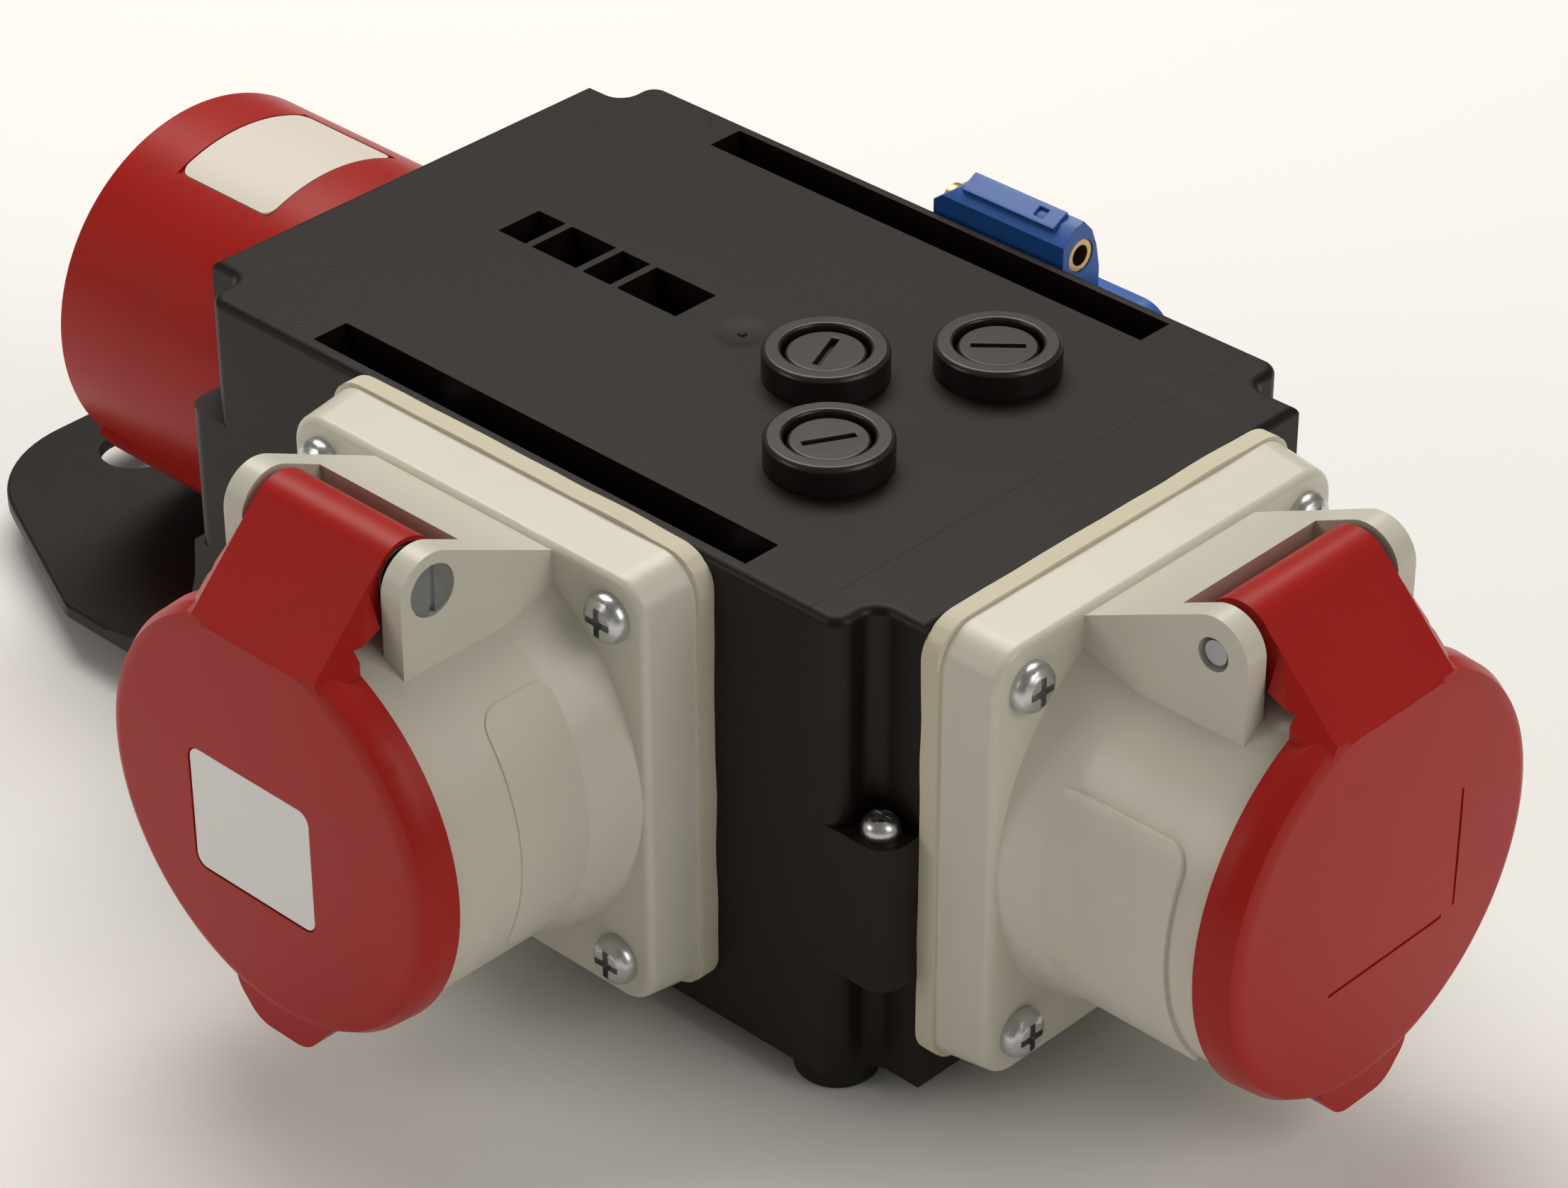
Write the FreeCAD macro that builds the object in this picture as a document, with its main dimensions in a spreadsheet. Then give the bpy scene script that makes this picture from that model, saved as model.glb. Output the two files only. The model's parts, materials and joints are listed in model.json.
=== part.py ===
import FreeCAD, Part
import os
import Sketcher
from FreeCAD import Placement, Rotation, Vector

# Portable power distribution box, in millimetres.
# Origin: centre of the housing's plan, on the surface that the feet stand on.
# +X points to the end outlet, -Y to the long-side outlet, +Z up. The inlet is on the -X end.

SIZES = {
    # housing
    "housing_length": 149.0,
    "housing_width": 96.8,
    "housing_height": 80.4,
    "wall": 3.0,
    "parting_height": 37.8,
    "corner_step": 7.6,
    "inlet_step_length": 7.4,
    "outlet_step_length": 9.2,
    "step_round": 3.0,
    "top_round": 1.5,
    "post_round": 4.0,
    "inlet_post_top": 58.0,
    "inlet_post_bottom": 33.0,
    "outlet_post_top": 45.5,
    "outlet_post_bottom": 20.5,
    "foot_height": 5.0,
    "foot_radius": 6.5,
    "foot_stem_radius": 2.5,
    "foot_end_inset": 16.6,
    "foot_side_inset": 8.1,
    "seal_inset": 1.0,
    "seal_width": 1.0,
    "seal_depth": 1.0,
    # recesses in the top
    "slot_length": 90.4,
    "slot_width": 6.7,
    "slot_edge": 2.4,
    "slot_depth": 11.0,
    "window_start": 25.1,
    "window_width": 8.8,
    "window_shift": 0.7,
    "window_bar": 1.4,
    "window_depth": 8.0,
    "recess_skin": 1.5,
    "dimple_radius": 5.3,
    "dimple_sphere": 25.0,
    # hanging plate
    "plate_thick": 2.4,
    "plate_lift": 2.0,
    "plate_reach": 80.7,
    "plate_shoulder": 36.0,
    "plate_nose": 28.9,
    "plate_nose_round": 24.0,
    "hang_reach": 65.1,
    "hang_radius": 6.6,
    "hang_half_gap": 8.3,
    "web_width": 10.4,
    # fasteners
    "screw_radius": 1.8,
    "screw_gap": 0.1,
    "screw_head_radius": 3.9,
    "screw_head_height": 2.8,
    "corner_head_radius": 2.9,
    "corner_screw_end": 4.8,
    "corner_screw_side": 4.2,
    # five-pole outlets: outward is -Y in their own frame
    "outlet_centre_height": 43.3,
    "front_outlet_shift": 3.2,
    "right_outlet_shift": -3.4,
    "gasket_thick": 3.0,
    "gasket_side": 76.0,
    "flange_thick": 9.5,
    "flange_side": 73.0,
    "flange_corner": 6.0,
    "screw_spacing": 60.0,
    "collar_radius": 33.1,
    "collar_foot_radius": 35.6,
    "collar_wall": 3.6,
    "collar_front": 46.3,
    "insert_radius": 25.6,
    "boss_radius": 19.0,
    "contact_circle": 13.5,
    "sleeve_wall": 0.6,
    "sleeve_bore": 2.55,
    "earth_sleeve_bore": 3.05,
    "contact_gap": 0.05,
    "ear_outer": 18.4,
    "ear_thick": 4.0,
    "ear_radius": 6.0,
    "hinge_out": 35.1,
    "hinge_up": 39.8,
    "trough_radius": 9.1,
    "barrel_radius": 6.0,
    "barrel_half": 12.9,
    "spring_seat": 11.0,
    "spring_room": 5.2,
    "hinge_pin_radius": 2.6,
    "pin_head_radius": 4.0,
    "pin_tail_step": 0.7,
    "pin_gap": 0.05,
    "lid_radius": 34.2,
    "lid_back": 46.8,
    "lid_front": 53.2,
    "lid_skin": 2.6,
    "label_width": 25.4,
    "label_height": 20.8,
    "label_corner": 2.0,
    # inlet: outward is -X
    "inlet_radius": 32.1,
    "inlet_wall": 3.2,
    "inlet_reach": 52.7,
    "inlet_centre_height": 41.3,
    "inlet_flange_side": 65.0,
    "inlet_flange_thick": 4.5,
    "inlet_gasket_thick": 1.5,
    "inlet_pin_radius": 3.0,
    "inlet_earth_radius": 4.0,
    "inlet_pin_shoulder": 0.4,
    "inlet_pin_circle": 16.0,
    "inlet_label_start": 12.0,
    "inlet_label_length": 22.4,
    "inlet_label_half_width": 13.9,
    "label_thick": 0.35,
    # blue outlet: outward is +Y
    "blue_shift": 8.0,
    "blue_centre_height": 46.1,
    "blue_flange_side": 54.0,
    "blue_flange_thick": 4.0,
    "blue_gasket_thick": 1.5,
    "blue_screw_spacing": 38.0,
    "blue_well_radius": 19.6,
    "blue_ring_radius": 25.0,
    "blue_ring_front": 9.0,
    "blue_hinge_out": 4.7,
    "blue_hinge_up": 34.0,
    "blue_block_half": 13.5,
    "blue_ear_thick": 4.0,
    "blue_tube_radius": 2.75,
    "blue_tube_bore": 1.7,
    "blue_knuckle_radius": 3.6,
    "blue_lid_thick": 4.0,
    # fuses
    "fuse_shank_radius": 7.9,
    "fuse_rim_radius": 9.7,
    "fuse_rim_height": 4.8,
    "fuse_bore": 6.75,
    "fuse_depth": 26.0,
    "fuse_cap_radius": 6.2,
    "fuse_cap_sink": 0.8,
    "fuse_link_radius": 2.6,
    "fuse_link_length": 20.0,
    "fuse_gap": 0.1,
    "fuse_pair_reach": 35.2,
    "fuse_pair_half": 18.3,
    "fuse_single_reach": 17.8,
    "fuse_single_shift": -0.5,
    "nut_thick": 4.0,
    "nut_radius": 11.0,
    # inside
    "block_length": 56.0,
    "block_width": 16.0,
    "block_height": 14.0,
    "wire_radius": 1.6,
}

WINDOW_LENGTHS = (6.1, 9.8, 6.1, 12.7)
CAP_SLOT_ANGLES = (112.0, 42.0, 61.0)
CONTACTS = 5

doc = FreeCAD.newDocument("distribution_box")


class Size:
    """A number that remembers the sheet formula it came from."""

    def __init__(self, value, text):
        self.value = float(value)
        self.text = text

    def __float__(self):
        return self.value

    def __neg__(self):
        return Size(-self.value, "-(" + self.text + ")")

    def __add__(self, other):
        return join(self, other, "+", lambda a, b: a + b)

    def __radd__(self, other):
        return join(other, self, "+", lambda a, b: a + b)

    def __sub__(self, other):
        return join(self, other, "-", lambda a, b: a - b)

    def __rsub__(self, other):
        return join(other, self, "-", lambda a, b: a - b)

    def __mul__(self, other):
        return join(self, other, "*", lambda a, b: a * b)

    def __rmul__(self, other):
        return join(other, self, "*", lambda a, b: a * b)

    def __truediv__(self, other):
        return join(self, other, "/", lambda a, b: a / b)


def join(left, right, sign, work):
    left_text = left.text if isinstance(left, Size) else repr(float(left))
    right_text = right.text if isinstance(right, Size) else repr(float(right))
    value = work(float(left), float(right))
    return Size(value, "(" + left_text + " " + sign + " " + right_text + ")")


def make_sheet():
    sheet = doc.addObject("Spreadsheet::Sheet", "sizes")
    for row, (name, value) in enumerate(SIZES.items(), start=1):
        sheet.set("A" + str(row), name)
        sheet.set("B" + str(row), str(value))
        sheet.setAlias("B" + str(row), name)
    doc.recompute()
    return {name: Size(value, "sizes." + name) for name, value in SIZES.items()}


S = make_sheet()
serial = iter(range(1, 100000))


def new_name(stem):
    return stem + "_" + str(next(serial))


def bind(item, prop, size):
    """Sets a property from a size, and ties it to the sheet where the size has a formula."""
    if isinstance(size, Size):
        item.setExpression(prop, size.text)
    elif prop.startswith("Placement.Base."):
        base = item.Placement.Base
        setattr(base, prop[-1], float(size))
        item.Placement = Placement(base, item.Placement.Rotation)
    else:
        setattr(item, prop, float(size))


def move(item, x=0, y=0, z=0, turn=None):
    """Places an item; turn is an optional Rotation."""
    item.Placement = Placement(Vector(float(x), float(y), float(z)), turn or Rotation())
    for letter, size in (("x", x), ("y", y), ("z", z)):
        if isinstance(size, Size):
            bind(item, "Placement.Base." + letter, size)
    return item


def box(x, y, z):
    """A box from three (low, high) pairs."""
    item = doc.addObject("Part::Box", new_name("box"))
    for prop, (low, high) in (("Length", x), ("Width", y), ("Height", z)):
        bind(item, prop, high - low)
    return move(item, x[0], y[0], z[0])


TURN_TO = {
    "x": Rotation(Vector(0, 1, 0), 90),
    "y": Rotation(Vector(1, 0, 0), -90),
    "z": Rotation(),
}


def along(axis, centre, start):
    """Coordinates of a start point on a line parallel to an axis through centre."""
    if axis == "x":
        return start, centre[0], centre[1]
    if axis == "y":
        return centre[0], start, centre[1]
    return centre[0], centre[1], start


def rod(axis, centre, span, radius):
    """A cylinder parallel to an axis; centre holds the other two coordinates in X, Y, Z order."""
    item = doc.addObject("Part::Cylinder", new_name("rod"))
    bind(item, "Radius", radius)
    bind(item, "Height", span[1] - span[0])
    return move(item, *along(axis, centre, span[0]), turn=TURN_TO[axis])


def fuse(items):
    if len(items) == 1:
        return items[0]
    item = doc.addObject("Part::MultiFuse", new_name("fuse"))
    item.Shapes = list(items)
    item.Refine = True
    return item


def cut(base, tools):
    item = doc.addObject("Part::Cut", new_name("cut"))
    item.Base = base
    item.Tool = fuse(tools)
    item.Refine = True
    return item


def common(base, tool):
    item = doc.addObject("Part::Common", new_name("common"))
    item.Base = base
    item.Tool = tool
    item.Refine = True
    return item


def group(items):
    """Separate solids that share one node."""
    item = doc.addObject("Part::Compound", new_name("group"))
    item.Links = list(items)
    return item


def origin_plane(body, role):
    for feature in body.Origin.OriginFeatures:
        if feature.Role == role:
            return feature
    raise ValueError(role)


def tie_point(sketch, edge, end, x, y):
    """Fixes a sketch point at (x, y) from the sketch's origin."""
    for kind, axis_line, size in (("DistanceX", -2, x), ("DistanceY", -1, y)):
        value = float(size)
        if abs(value) < 1e-9:
            sketch.addConstraint(Sketcher.Constraint("PointOnObject", edge, end, axis_line))
            continue
        if value > 0:
            tie = Sketcher.Constraint(kind, -1, 1, edge, end, value)
        else:
            tie = Sketcher.Constraint(kind, edge, end, -1, 1, -value)
            size = -size
        index = sketch.addConstraint(tie)
        if isinstance(size, Size):
            sketch.setExpression("Constraints[" + str(index) + "]", size.text)


def outline_sketch(body, role, corners, offset=0):
    """A closed polygon whose corners are tied to the sheet."""
    sketch = body.newObject("Sketcher::SketchObject", new_name("outline"))
    sketch.AttachmentSupport = [(origin_plane(body, role), "")]
    sketch.MapMode = "FlatFace"
    if isinstance(offset, Size):
        sketch.setExpression("AttachmentOffset.Base.z", offset.text)
    else:
        sketch.AttachmentOffset = Placement(Vector(0, 0, float(offset)), Rotation())
    count = len(corners)
    points = [Vector(float(x), float(y), 0) for x, y in corners]
    for index in range(count):
        sketch.addGeometry(Part.LineSegment(points[index], points[(index + 1) % count]))
    for index in range(count):
        sketch.addConstraint(Sketcher.Constraint("Coincident", index, 2, (index + 1) % count, 1))
    for index, (x, y) in enumerate(corners):
        tie_point(sketch, index, 1, x, y)
    return sketch


PLANE_OF = {"z": "XY_Plane", "y": "XZ_Plane", "x": "YZ_Plane"}


def prism(axis, corners, start, length):
    """A pad of a polygon. The XZ plane's normal is -Y, so for axis y start counts towards -Y."""
    body = doc.addObject("PartDesign::Body", new_name("body"))
    sketch = outline_sketch(body, PLANE_OF[axis], corners, start)
    pad = body.newObject("PartDesign::Pad", new_name("pad"))
    pad.Profile = sketch
    bind(pad, "Length", length)
    doc.recompute()
    return body


def turned(axis, profile):
    """A solid of revolution about the Z, Y or X axis from (radius, position) pairs."""
    body = doc.addObject("PartDesign::Body", new_name("turned"))
    role = "XZ_Plane" if axis == "z" else "XY_Plane"
    corners = [(at, radius) if axis == "x" else (radius, at) for radius, at in profile]
    sketch = outline_sketch(body, role, corners)
    spin = body.newObject("PartDesign::Revolution", new_name("spin"))
    spin.Profile = sketch
    spin.ReferenceAxis = (sketch, ["H_Axis" if axis == "x" else "V_Axis"])
    spin.Angle = 360
    doc.recompute()
    return body


def round_edges(body, pick, radius):
    """Fillets the edges of a body that pick(edge) accepts."""
    names = [
        "Edge" + str(index)
        for index, edge in enumerate(body.Shape.Edges, start=1)
        if pick(edge)
    ]
    solid = body.Tip
    fillet = body.newObject("PartDesign::Fillet", new_name("fillet"))
    fillet.Base = (solid, names)
    bind(fillet, "Radius", radius)
    body.Tip = fillet
    doc.recompute()
    return body


def runs_along(edge, axis):
    """True for a straight edge parallel to an axis."""
    if edge.Curve.TypeId != "Part::GeomLine":
        return False
    return abs(abs(getattr(edge.Curve.Direction, axis)) - 1) < 1e-6


def middle(edge):
    return edge.CenterOfMass


def square(half_x, half_y):
    return [(-half_x, -half_y), (half_x, -half_y), (half_x, half_y), (-half_x, half_y)]


parts = {}


def keep(name, item):
    item.Label = name
    parts[name] = item
    return item


# ---------------------------------------------------------------- shared places

underside = S["foot_height"]
top = underside + S["housing_height"]
parting = underside + S["parting_height"]
half_length = S["housing_length"] / 2
half_width = S["housing_width"] / 2
end_half_width = half_width - S["corner_step"]
outlet_height = underside + S["outlet_centre_height"]
inlet_height = underside + S["inlet_centre_height"]
blue_height = underside + S["blue_centre_height"]
step_length = {-1: S["inlet_step_length"], 1: S["outlet_step_length"]}
thread_hole = S["screw_radius"] + S["screw_gap"]
FUSE_PLACES = (
    (S["fuse_single_reach"], S["fuse_single_shift"]),
    (S["fuse_pair_reach"], S["fuse_pair_half"]),
    (S["fuse_pair_reach"], -S["fuse_pair_half"]),
)


def housing_outline(inset):
    """The plan of the housing with its four stepped corners, moved inwards by inset."""
    end = half_length - inset
    side = half_width - inset
    narrow = end_half_width - inset
    left = half_length - step_length[-1] - inset
    right = half_length - step_length[1] - inset
    return [
        (-end, -narrow), (-left, -narrow), (-left, -side), (right, -side),
        (right, -narrow), (end, -narrow), (end, narrow), (right, narrow),
        (right, side), (-left, side), (-left, narrow), (-end, narrow),
    ]


def at_step(edge):
    """Vertical edges of the stepped corners, both the outer and the inner ones."""
    x, y = middle(edge).x, middle(edge).y
    inner = float(half_length) - float(step_length[1 if x > 0 else -1])
    return abs(abs(x) - inner) < 0.01 and abs(y) > float(end_half_width) - 0.01


def shell_block(low, high):
    body = prism("z", housing_outline(0), low, high - low)
    return round_edges(body, lambda e: runs_along(e, "z") and at_step(e), S["step_round"])


def corner_post(end, side, low, high):
    """A post that fills a stepped corner, rounded at the housing's outer corner."""
    inner = end * (half_length - step_length[end] - S["step_round"])
    outer = end * half_length
    near = side * (end_half_width - 1)
    far = side * half_width
    body = prism("z", [(inner, near), (outer, near), (outer, far), (inner, far)], low, high - low)

    def outer_corner(edge):
        place = middle(edge)
        return (runs_along(edge, "z") and abs(place.x - float(outer)) < 0.01
                and abs(place.y - float(far)) < 0.01)

    return round_edges(body, outer_corner, S["post_round"])


def corner_screw_place(end, side):
    return end * (half_length - S["corner_screw_end"]), side * (half_width - S["corner_screw_side"])


def screw_grid(spacing):
    half = spacing / 2
    return [(x, z) for x in (-half, half) for z in (-half, half)]


def wall_tools():
    """The cuts that both shells share: inlet and outlet openings and their screw holes."""
    tools = []
    body_hole = S["insert_radius"] + 0.9
    deep = S["wall"] * 2
    front, right = -half_width, half_length
    fx, rx = S["front_outlet_shift"], S["right_outlet_shift"]
    tools.append(rod("y", (fx, outlet_height), (front - 1, front + deep), body_hole))
    tools.append(rod("x", (rx, outlet_height), (right - deep, right + 1), body_hole))
    tools.append(rod("x", (0, inlet_height), (-right - 1, -right + deep), body_hole))
    blue_hole = S["blue_well_radius"] + 2.4
    tools.append(rod("y", (S["blue_shift"], blue_height), (half_width - deep, half_width + 1), blue_hole))
    for a, z in screw_grid(S["screw_spacing"]):
        tools.append(rod("y", (fx + a, outlet_height + z), (front - 1, front + deep), thread_hole))
        tools.append(rod("x", (rx + a, outlet_height + z), (right - deep, right + 1), thread_hole))
    for a, z in inlet_screw_places():
        tools.append(rod("x", (a, z), (-right - 1, -right + deep), thread_hole))
    for a, z in screw_grid(S["blue_screw_spacing"]):
        place = (S["blue_shift"] + a, blue_height + z)
        tools.append(rod("y", place, (half_width - deep, half_width + 1), thread_hole))
    return tools


def inlet_screw_places():
    half = S["inlet_flange_side"] / 2 - 5.0
    return [(a, inlet_height + z) for a in (-half, half) for z in (-half, half)]


def slot_box(side, grow, floor, ceiling):
    """One long recess in the top; grow widens it for the liner around it."""
    near = side * (half_width - S["slot_edge"] + grow)
    far = side * (half_width - S["slot_edge"] - S["slot_width"] - grow)
    half = S["slot_length"] / 2 + grow
    low, high = (near, far) if side < 0 else (far, near)
    return box((-half, half), (low, high), (floor, ceiling))


def window_boxes():
    boxes = []
    start = -(half_length - S["window_start"])
    low = S["window_shift"] - S["window_width"] / 2
    for length in WINDOW_LENGTHS:
        boxes.append(box((start, start + length), (low, low + S["window_width"]),
                         (top - S["window_depth"], top + 1)))
        start = start + length + S["window_bar"]
    return boxes


def make_upper_shell():
    block = shell_block(parting, top)
    block = round_edges(block, lambda e: abs(middle(e).z - float(top)) < 0.01
                        and abs(e.BoundBox.ZLength) < 0.01, S["top_round"])
    posts = [corner_post(-1, side, parting, underside + S["inlet_post_top"]) for side in (-1, 1)]
    posts += [corner_post(1, side, parting, underside + S["outlet_post_top"]) for side in (-1, 1)]
    cavity = prism("z", housing_outline(S["wall"]), parting - 1, top - S["wall"] - parting + 1)
    hollow = cut(fuse([block] + posts), [cavity])
    skin = S["recess_skin"]
    liners = [slot_box(side, skin, top - S["slot_depth"] - skin, top - 1) for side in (-1, 1)]
    row = -(half_length - S["window_start"])
    row_length = sum(WINDOW_LENGTHS) + S["window_bar"] * (len(WINDOW_LENGTHS) - 1)
    low = S["window_shift"] - S["window_width"] / 2
    liners.append(box((row - skin, row + row_length + skin),
                      (low - skin, low + S["window_width"] + skin),
                      (top - S["window_depth"] - skin, top - 1)))
    inside = prism("z", housing_outline(S["wall"] / 2), parting, top - 1 - parting)
    liner = common(fuse(liners), inside)
    tools = wall_tools() + window_boxes()
    tools += [slot_box(side, 0, top - S["slot_depth"], top + 1) for side in (-1, 1)]
    for x, y in FUSE_PLACES:
        tools.append(rod("z", (x, y), (top - S["wall"] - 1, top + 1), S["fuse_shank_radius"] + 0.1))
    dimple = doc.addObject("Part::Sphere", new_name("dimple"))
    bind(dimple, "Radius", S["dimple_sphere"])
    move(dimple, 0, 0, top + S["dimple_sphere"] - 0.56)
    tools.append(dimple)
    for side in (-1, 1):
        x, y = corner_screw_place(1, side)
        tools.append(rod("z", (x, y), (parting - 1, top), thread_hole))
        x, y = corner_screw_place(-1, side)
        tools.append(rod("z", (x, y), (parting - 1, parting + 12), thread_hole))
    keep("upper_shell", cut(fuse([hollow, liner]), tools))


def hanging_plate():
    root = half_length - 2
    shoulder = half_length + S["plate_shoulder"]
    tip = half_length + S["plate_reach"]
    low = underside + S["plate_lift"]
    nose = S["plate_nose"]
    corners = [
        (-root, -half_width), (-root, half_width), (-shoulder, half_width),
        (-tip, nose), (-tip, -nose), (-shoulder, -half_width),
    ]
    body = prism("z", corners, low, S["plate_thick"])

    def near_x(edge, x):
        return runs_along(edge, "z") and abs(middle(edge).x + float(x)) < 0.01

    body = round_edges(body, lambda e: near_x(e, tip), S["plate_nose_round"])
    body = round_edges(body, lambda e: near_x(e, shoulder), S["post_round"] * 1.5)
    rim = float(low + S["plate_thick"])
    body = round_edges(body, lambda e: abs(middle(e).z - rim) < 0.01
                       and middle(e).x < -float(root) - 1, 0.7)
    span = (low - 1, low + S["plate_thick"] + 1)
    reach = half_length + S["hang_reach"]
    gap = S["hang_half_gap"]
    tools = [rod("z", (-reach, side * gap), span, S["hang_radius"]) for side in (-1, 1)]
    tools.append(box((-reach - S["hang_radius"], -reach + S["hang_radius"]), (-gap, gap), span))
    return cut(body, tools)


def plate_web(side):
    """A side web that sweeps from the end wall down to the hanging plate."""
    foot = underside + S["plate_lift"]
    deck = foot + S["plate_thick"] - 0.2
    end = half_length
    head = underside + S["inlet_post_bottom"]
    corners = [
        (-(end - 14), foot), (-(end - 14), head), (-end, head), (-(end + 0.6), deck + 22),
        (-(end + 2.6), deck + 15), (-(end + 6.5), deck + 10), (-(end + 12.6), deck + 5.2),
        (-(end + 19), deck + 1.2), (-(end + 25), deck), (-(end + 25), foot),
    ]
    start = half_width - S["web_width"] if side < 0 else -half_width
    return prism("y", corners, start, S["web_width"])


def foot_places():
    x = half_length - S["foot_end_inset"]
    y = half_width - S["foot_side_inset"]
    return [(a * x, b * y) for a in (-1, 1) for b in (-1, 1)]


def seal_ring(low, high):
    outer = prism("z", housing_outline(S["seal_inset"]), low, high - low)
    inset = S["seal_inset"] + S["seal_width"]
    inner = prism("z", housing_outline(inset), low - 1, high - low + 2)
    return cut(outer, [inner])


def make_lower_shell():
    block = shell_block(underside, parting)
    posts = [corner_post(-1, side, underside + S["inlet_post_bottom"], parting) for side in (-1, 1)]
    posts += [corner_post(1, side, underside + S["outlet_post_bottom"], parting) for side in (-1, 1)]
    webs = [plate_web(side) for side in (-1, 1)]
    solid = fuse([block, hanging_plate()] + posts + webs)
    floor = underside + S["wall"]
    tools = [prism("z", housing_outline(S["wall"]), floor, parting - floor + 1)]
    tools += wall_tools()
    tools.append(seal_ring(parting - S["seal_depth"], parting + 1))
    for x, y in foot_places():
        tools.append(rod("z", (x, y), (underside - 1, floor + 1), S["foot_stem_radius"] + 0.02))
    for side in (-1, 1):
        x, y = corner_screw_place(1, side)
        tools.append(rod("z", (x, y), (parting - 12, parting + 1), thread_hole))
        x, y = corner_screw_place(-1, side)
        tools.append(rod("z", (x, y), (underside - 1, parting + 1), thread_hole))
        head = S["corner_head_radius"] + 0.4
        tools.append(rod("z", (x, y), (underside - 1, parting - 8), head))
    keep("lower_shell", cut(solid, tools))


def make_seal_and_feet():
    cord = seal_ring(parting - S["seal_depth"], parting)
    keep("shell_seal", cut(cord, wall_tools()))
    feet = []
    for x, y in foot_places():
        foot = turned("z", [
            (0, 0), (S["foot_radius"] - 0.8, 0), (S["foot_radius"], 0.8),
            (S["foot_radius"], S["foot_height"]), (S["foot_stem_radius"], S["foot_height"]),
            (S["foot_stem_radius"], S["foot_height"] + S["wall"]),
            (0, S["foot_height"] + S["wall"]),
        ])
        feet.append(move(foot, x, y, 0))
    keep("rubber_feet", group(feet))


def pan_screw(head_radius, length):
    """A pan-head screw along -Y: the head stands out from y = 0, the shank goes to +Y."""
    height = S["screw_head_height"]
    head = turned("y", [
        (0, -height), (head_radius * 0.55, -height), (head_radius * 0.88, -height * 0.72),
        (head_radius, -height * 0.35), (head_radius, 0), (S["screw_radius"], 0),
        (S["screw_radius"], length - 1.5), (0.4, length), (0, length),
    ])
    half, arm = head_radius * 0.14, head_radius * 0.6
    deep = (-height - 1, -height * 0.4)
    cross = [box((-half, half), deep, (-arm, arm)), box((-arm, arm), deep, (-half, half))]
    cross.append(rod("y", (0, 0), deep, head_radius * 0.24))
    return cut(head, cross)


def make_housing_screws():
    screws = []
    for side in (-1, 1):
        x, y = corner_screw_place(1, side)
        ledge = underside + S["outlet_post_top"]
        upper = pan_screw(S["corner_head_radius"], ledge - parting + 11)
        screws.append(move(upper, x, y, ledge, Rotation(Vector(1, 0, 0), -90)))
        x, y = corner_screw_place(-1, side)
        lower = pan_screw(S["corner_head_radius"], 8 + 11)
        screws.append(move(lower, x, y, parting - 8, Rotation(Vector(1, 0, 0), 90)))
    keep("housing_screws", group(screws))


# ---------------------------------------------------------------- five-pole outlets

OUTLET_SIDES = {
    "front": (S["front_outlet_shift"], -half_width, Rotation()),
    "right": (half_length, S["right_outlet_shift"], Rotation(Vector(0, 0, 1), 90)),
}


def seat(name, side, item):
    """Moves a piece made in the outlet's frame to its wall and keeps it."""
    x, y, turn = OUTLET_SIDES[side]
    keep(side + "_" + name, group([item]) if item.TypeId == "PartDesign::Body" else item)
    return move(parts[side + "_" + name], x, y, outlet_height, turn)


flange_face = S["gasket_thick"] + S["flange_thick"]
ear_inner = S["ear_outer"] - S["ear_thick"]


def contact_places(circle, count=CONTACTS):
    """Contact centres, the first one at the bottom; each angle is a step of the circle."""
    spots = []
    for index in range(count):
        spot = Rotation(Vector(0, 1, 0), index * 360.0 / count).multVec(Vector(0, 0, -1))
        spots.append((circle * spot.x, circle * spot.z))
    return spots


def hinge_block():
    """The wedge that rises from the flange and carries the two ears."""
    out, up, ear = S["hinge_out"], S["hinge_up"], S["ear_radius"]
    back = S["gasket_thick"] + 1
    # the top slope leans by 25 degrees: its normal is (sin 25, cos 25)
    crest_out, crest_up = out - ear * 0.423, up + ear * 0.906
    corners = [
        (-back, 20), (-(out + ear), 26), (-(out + ear), up), (-crest_out, crest_up),
        (-flange_face, crest_up - (crest_out - flange_face) * 0.466), (-back, up - 8),
    ]
    wedge = prism("x", corners, -S["ear_outer"], S["ear_outer"] * 2)
    round_ear = rod("x", (-out, up), (-S["ear_outer"], S["ear_outer"]), ear)
    gap = (-ear_inner, ear_inner)
    swing = S["trough_radius"]
    room = [
        rod("x", (-out, up), gap, swing),
        box(gap, (-(out + ear + 1), -out), (20, up + ear + 1)),
        box(gap, (-out, -(out - swing)), (20, up)),
    ]
    return cut(fuse([wedge, round_ear]), room)


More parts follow.
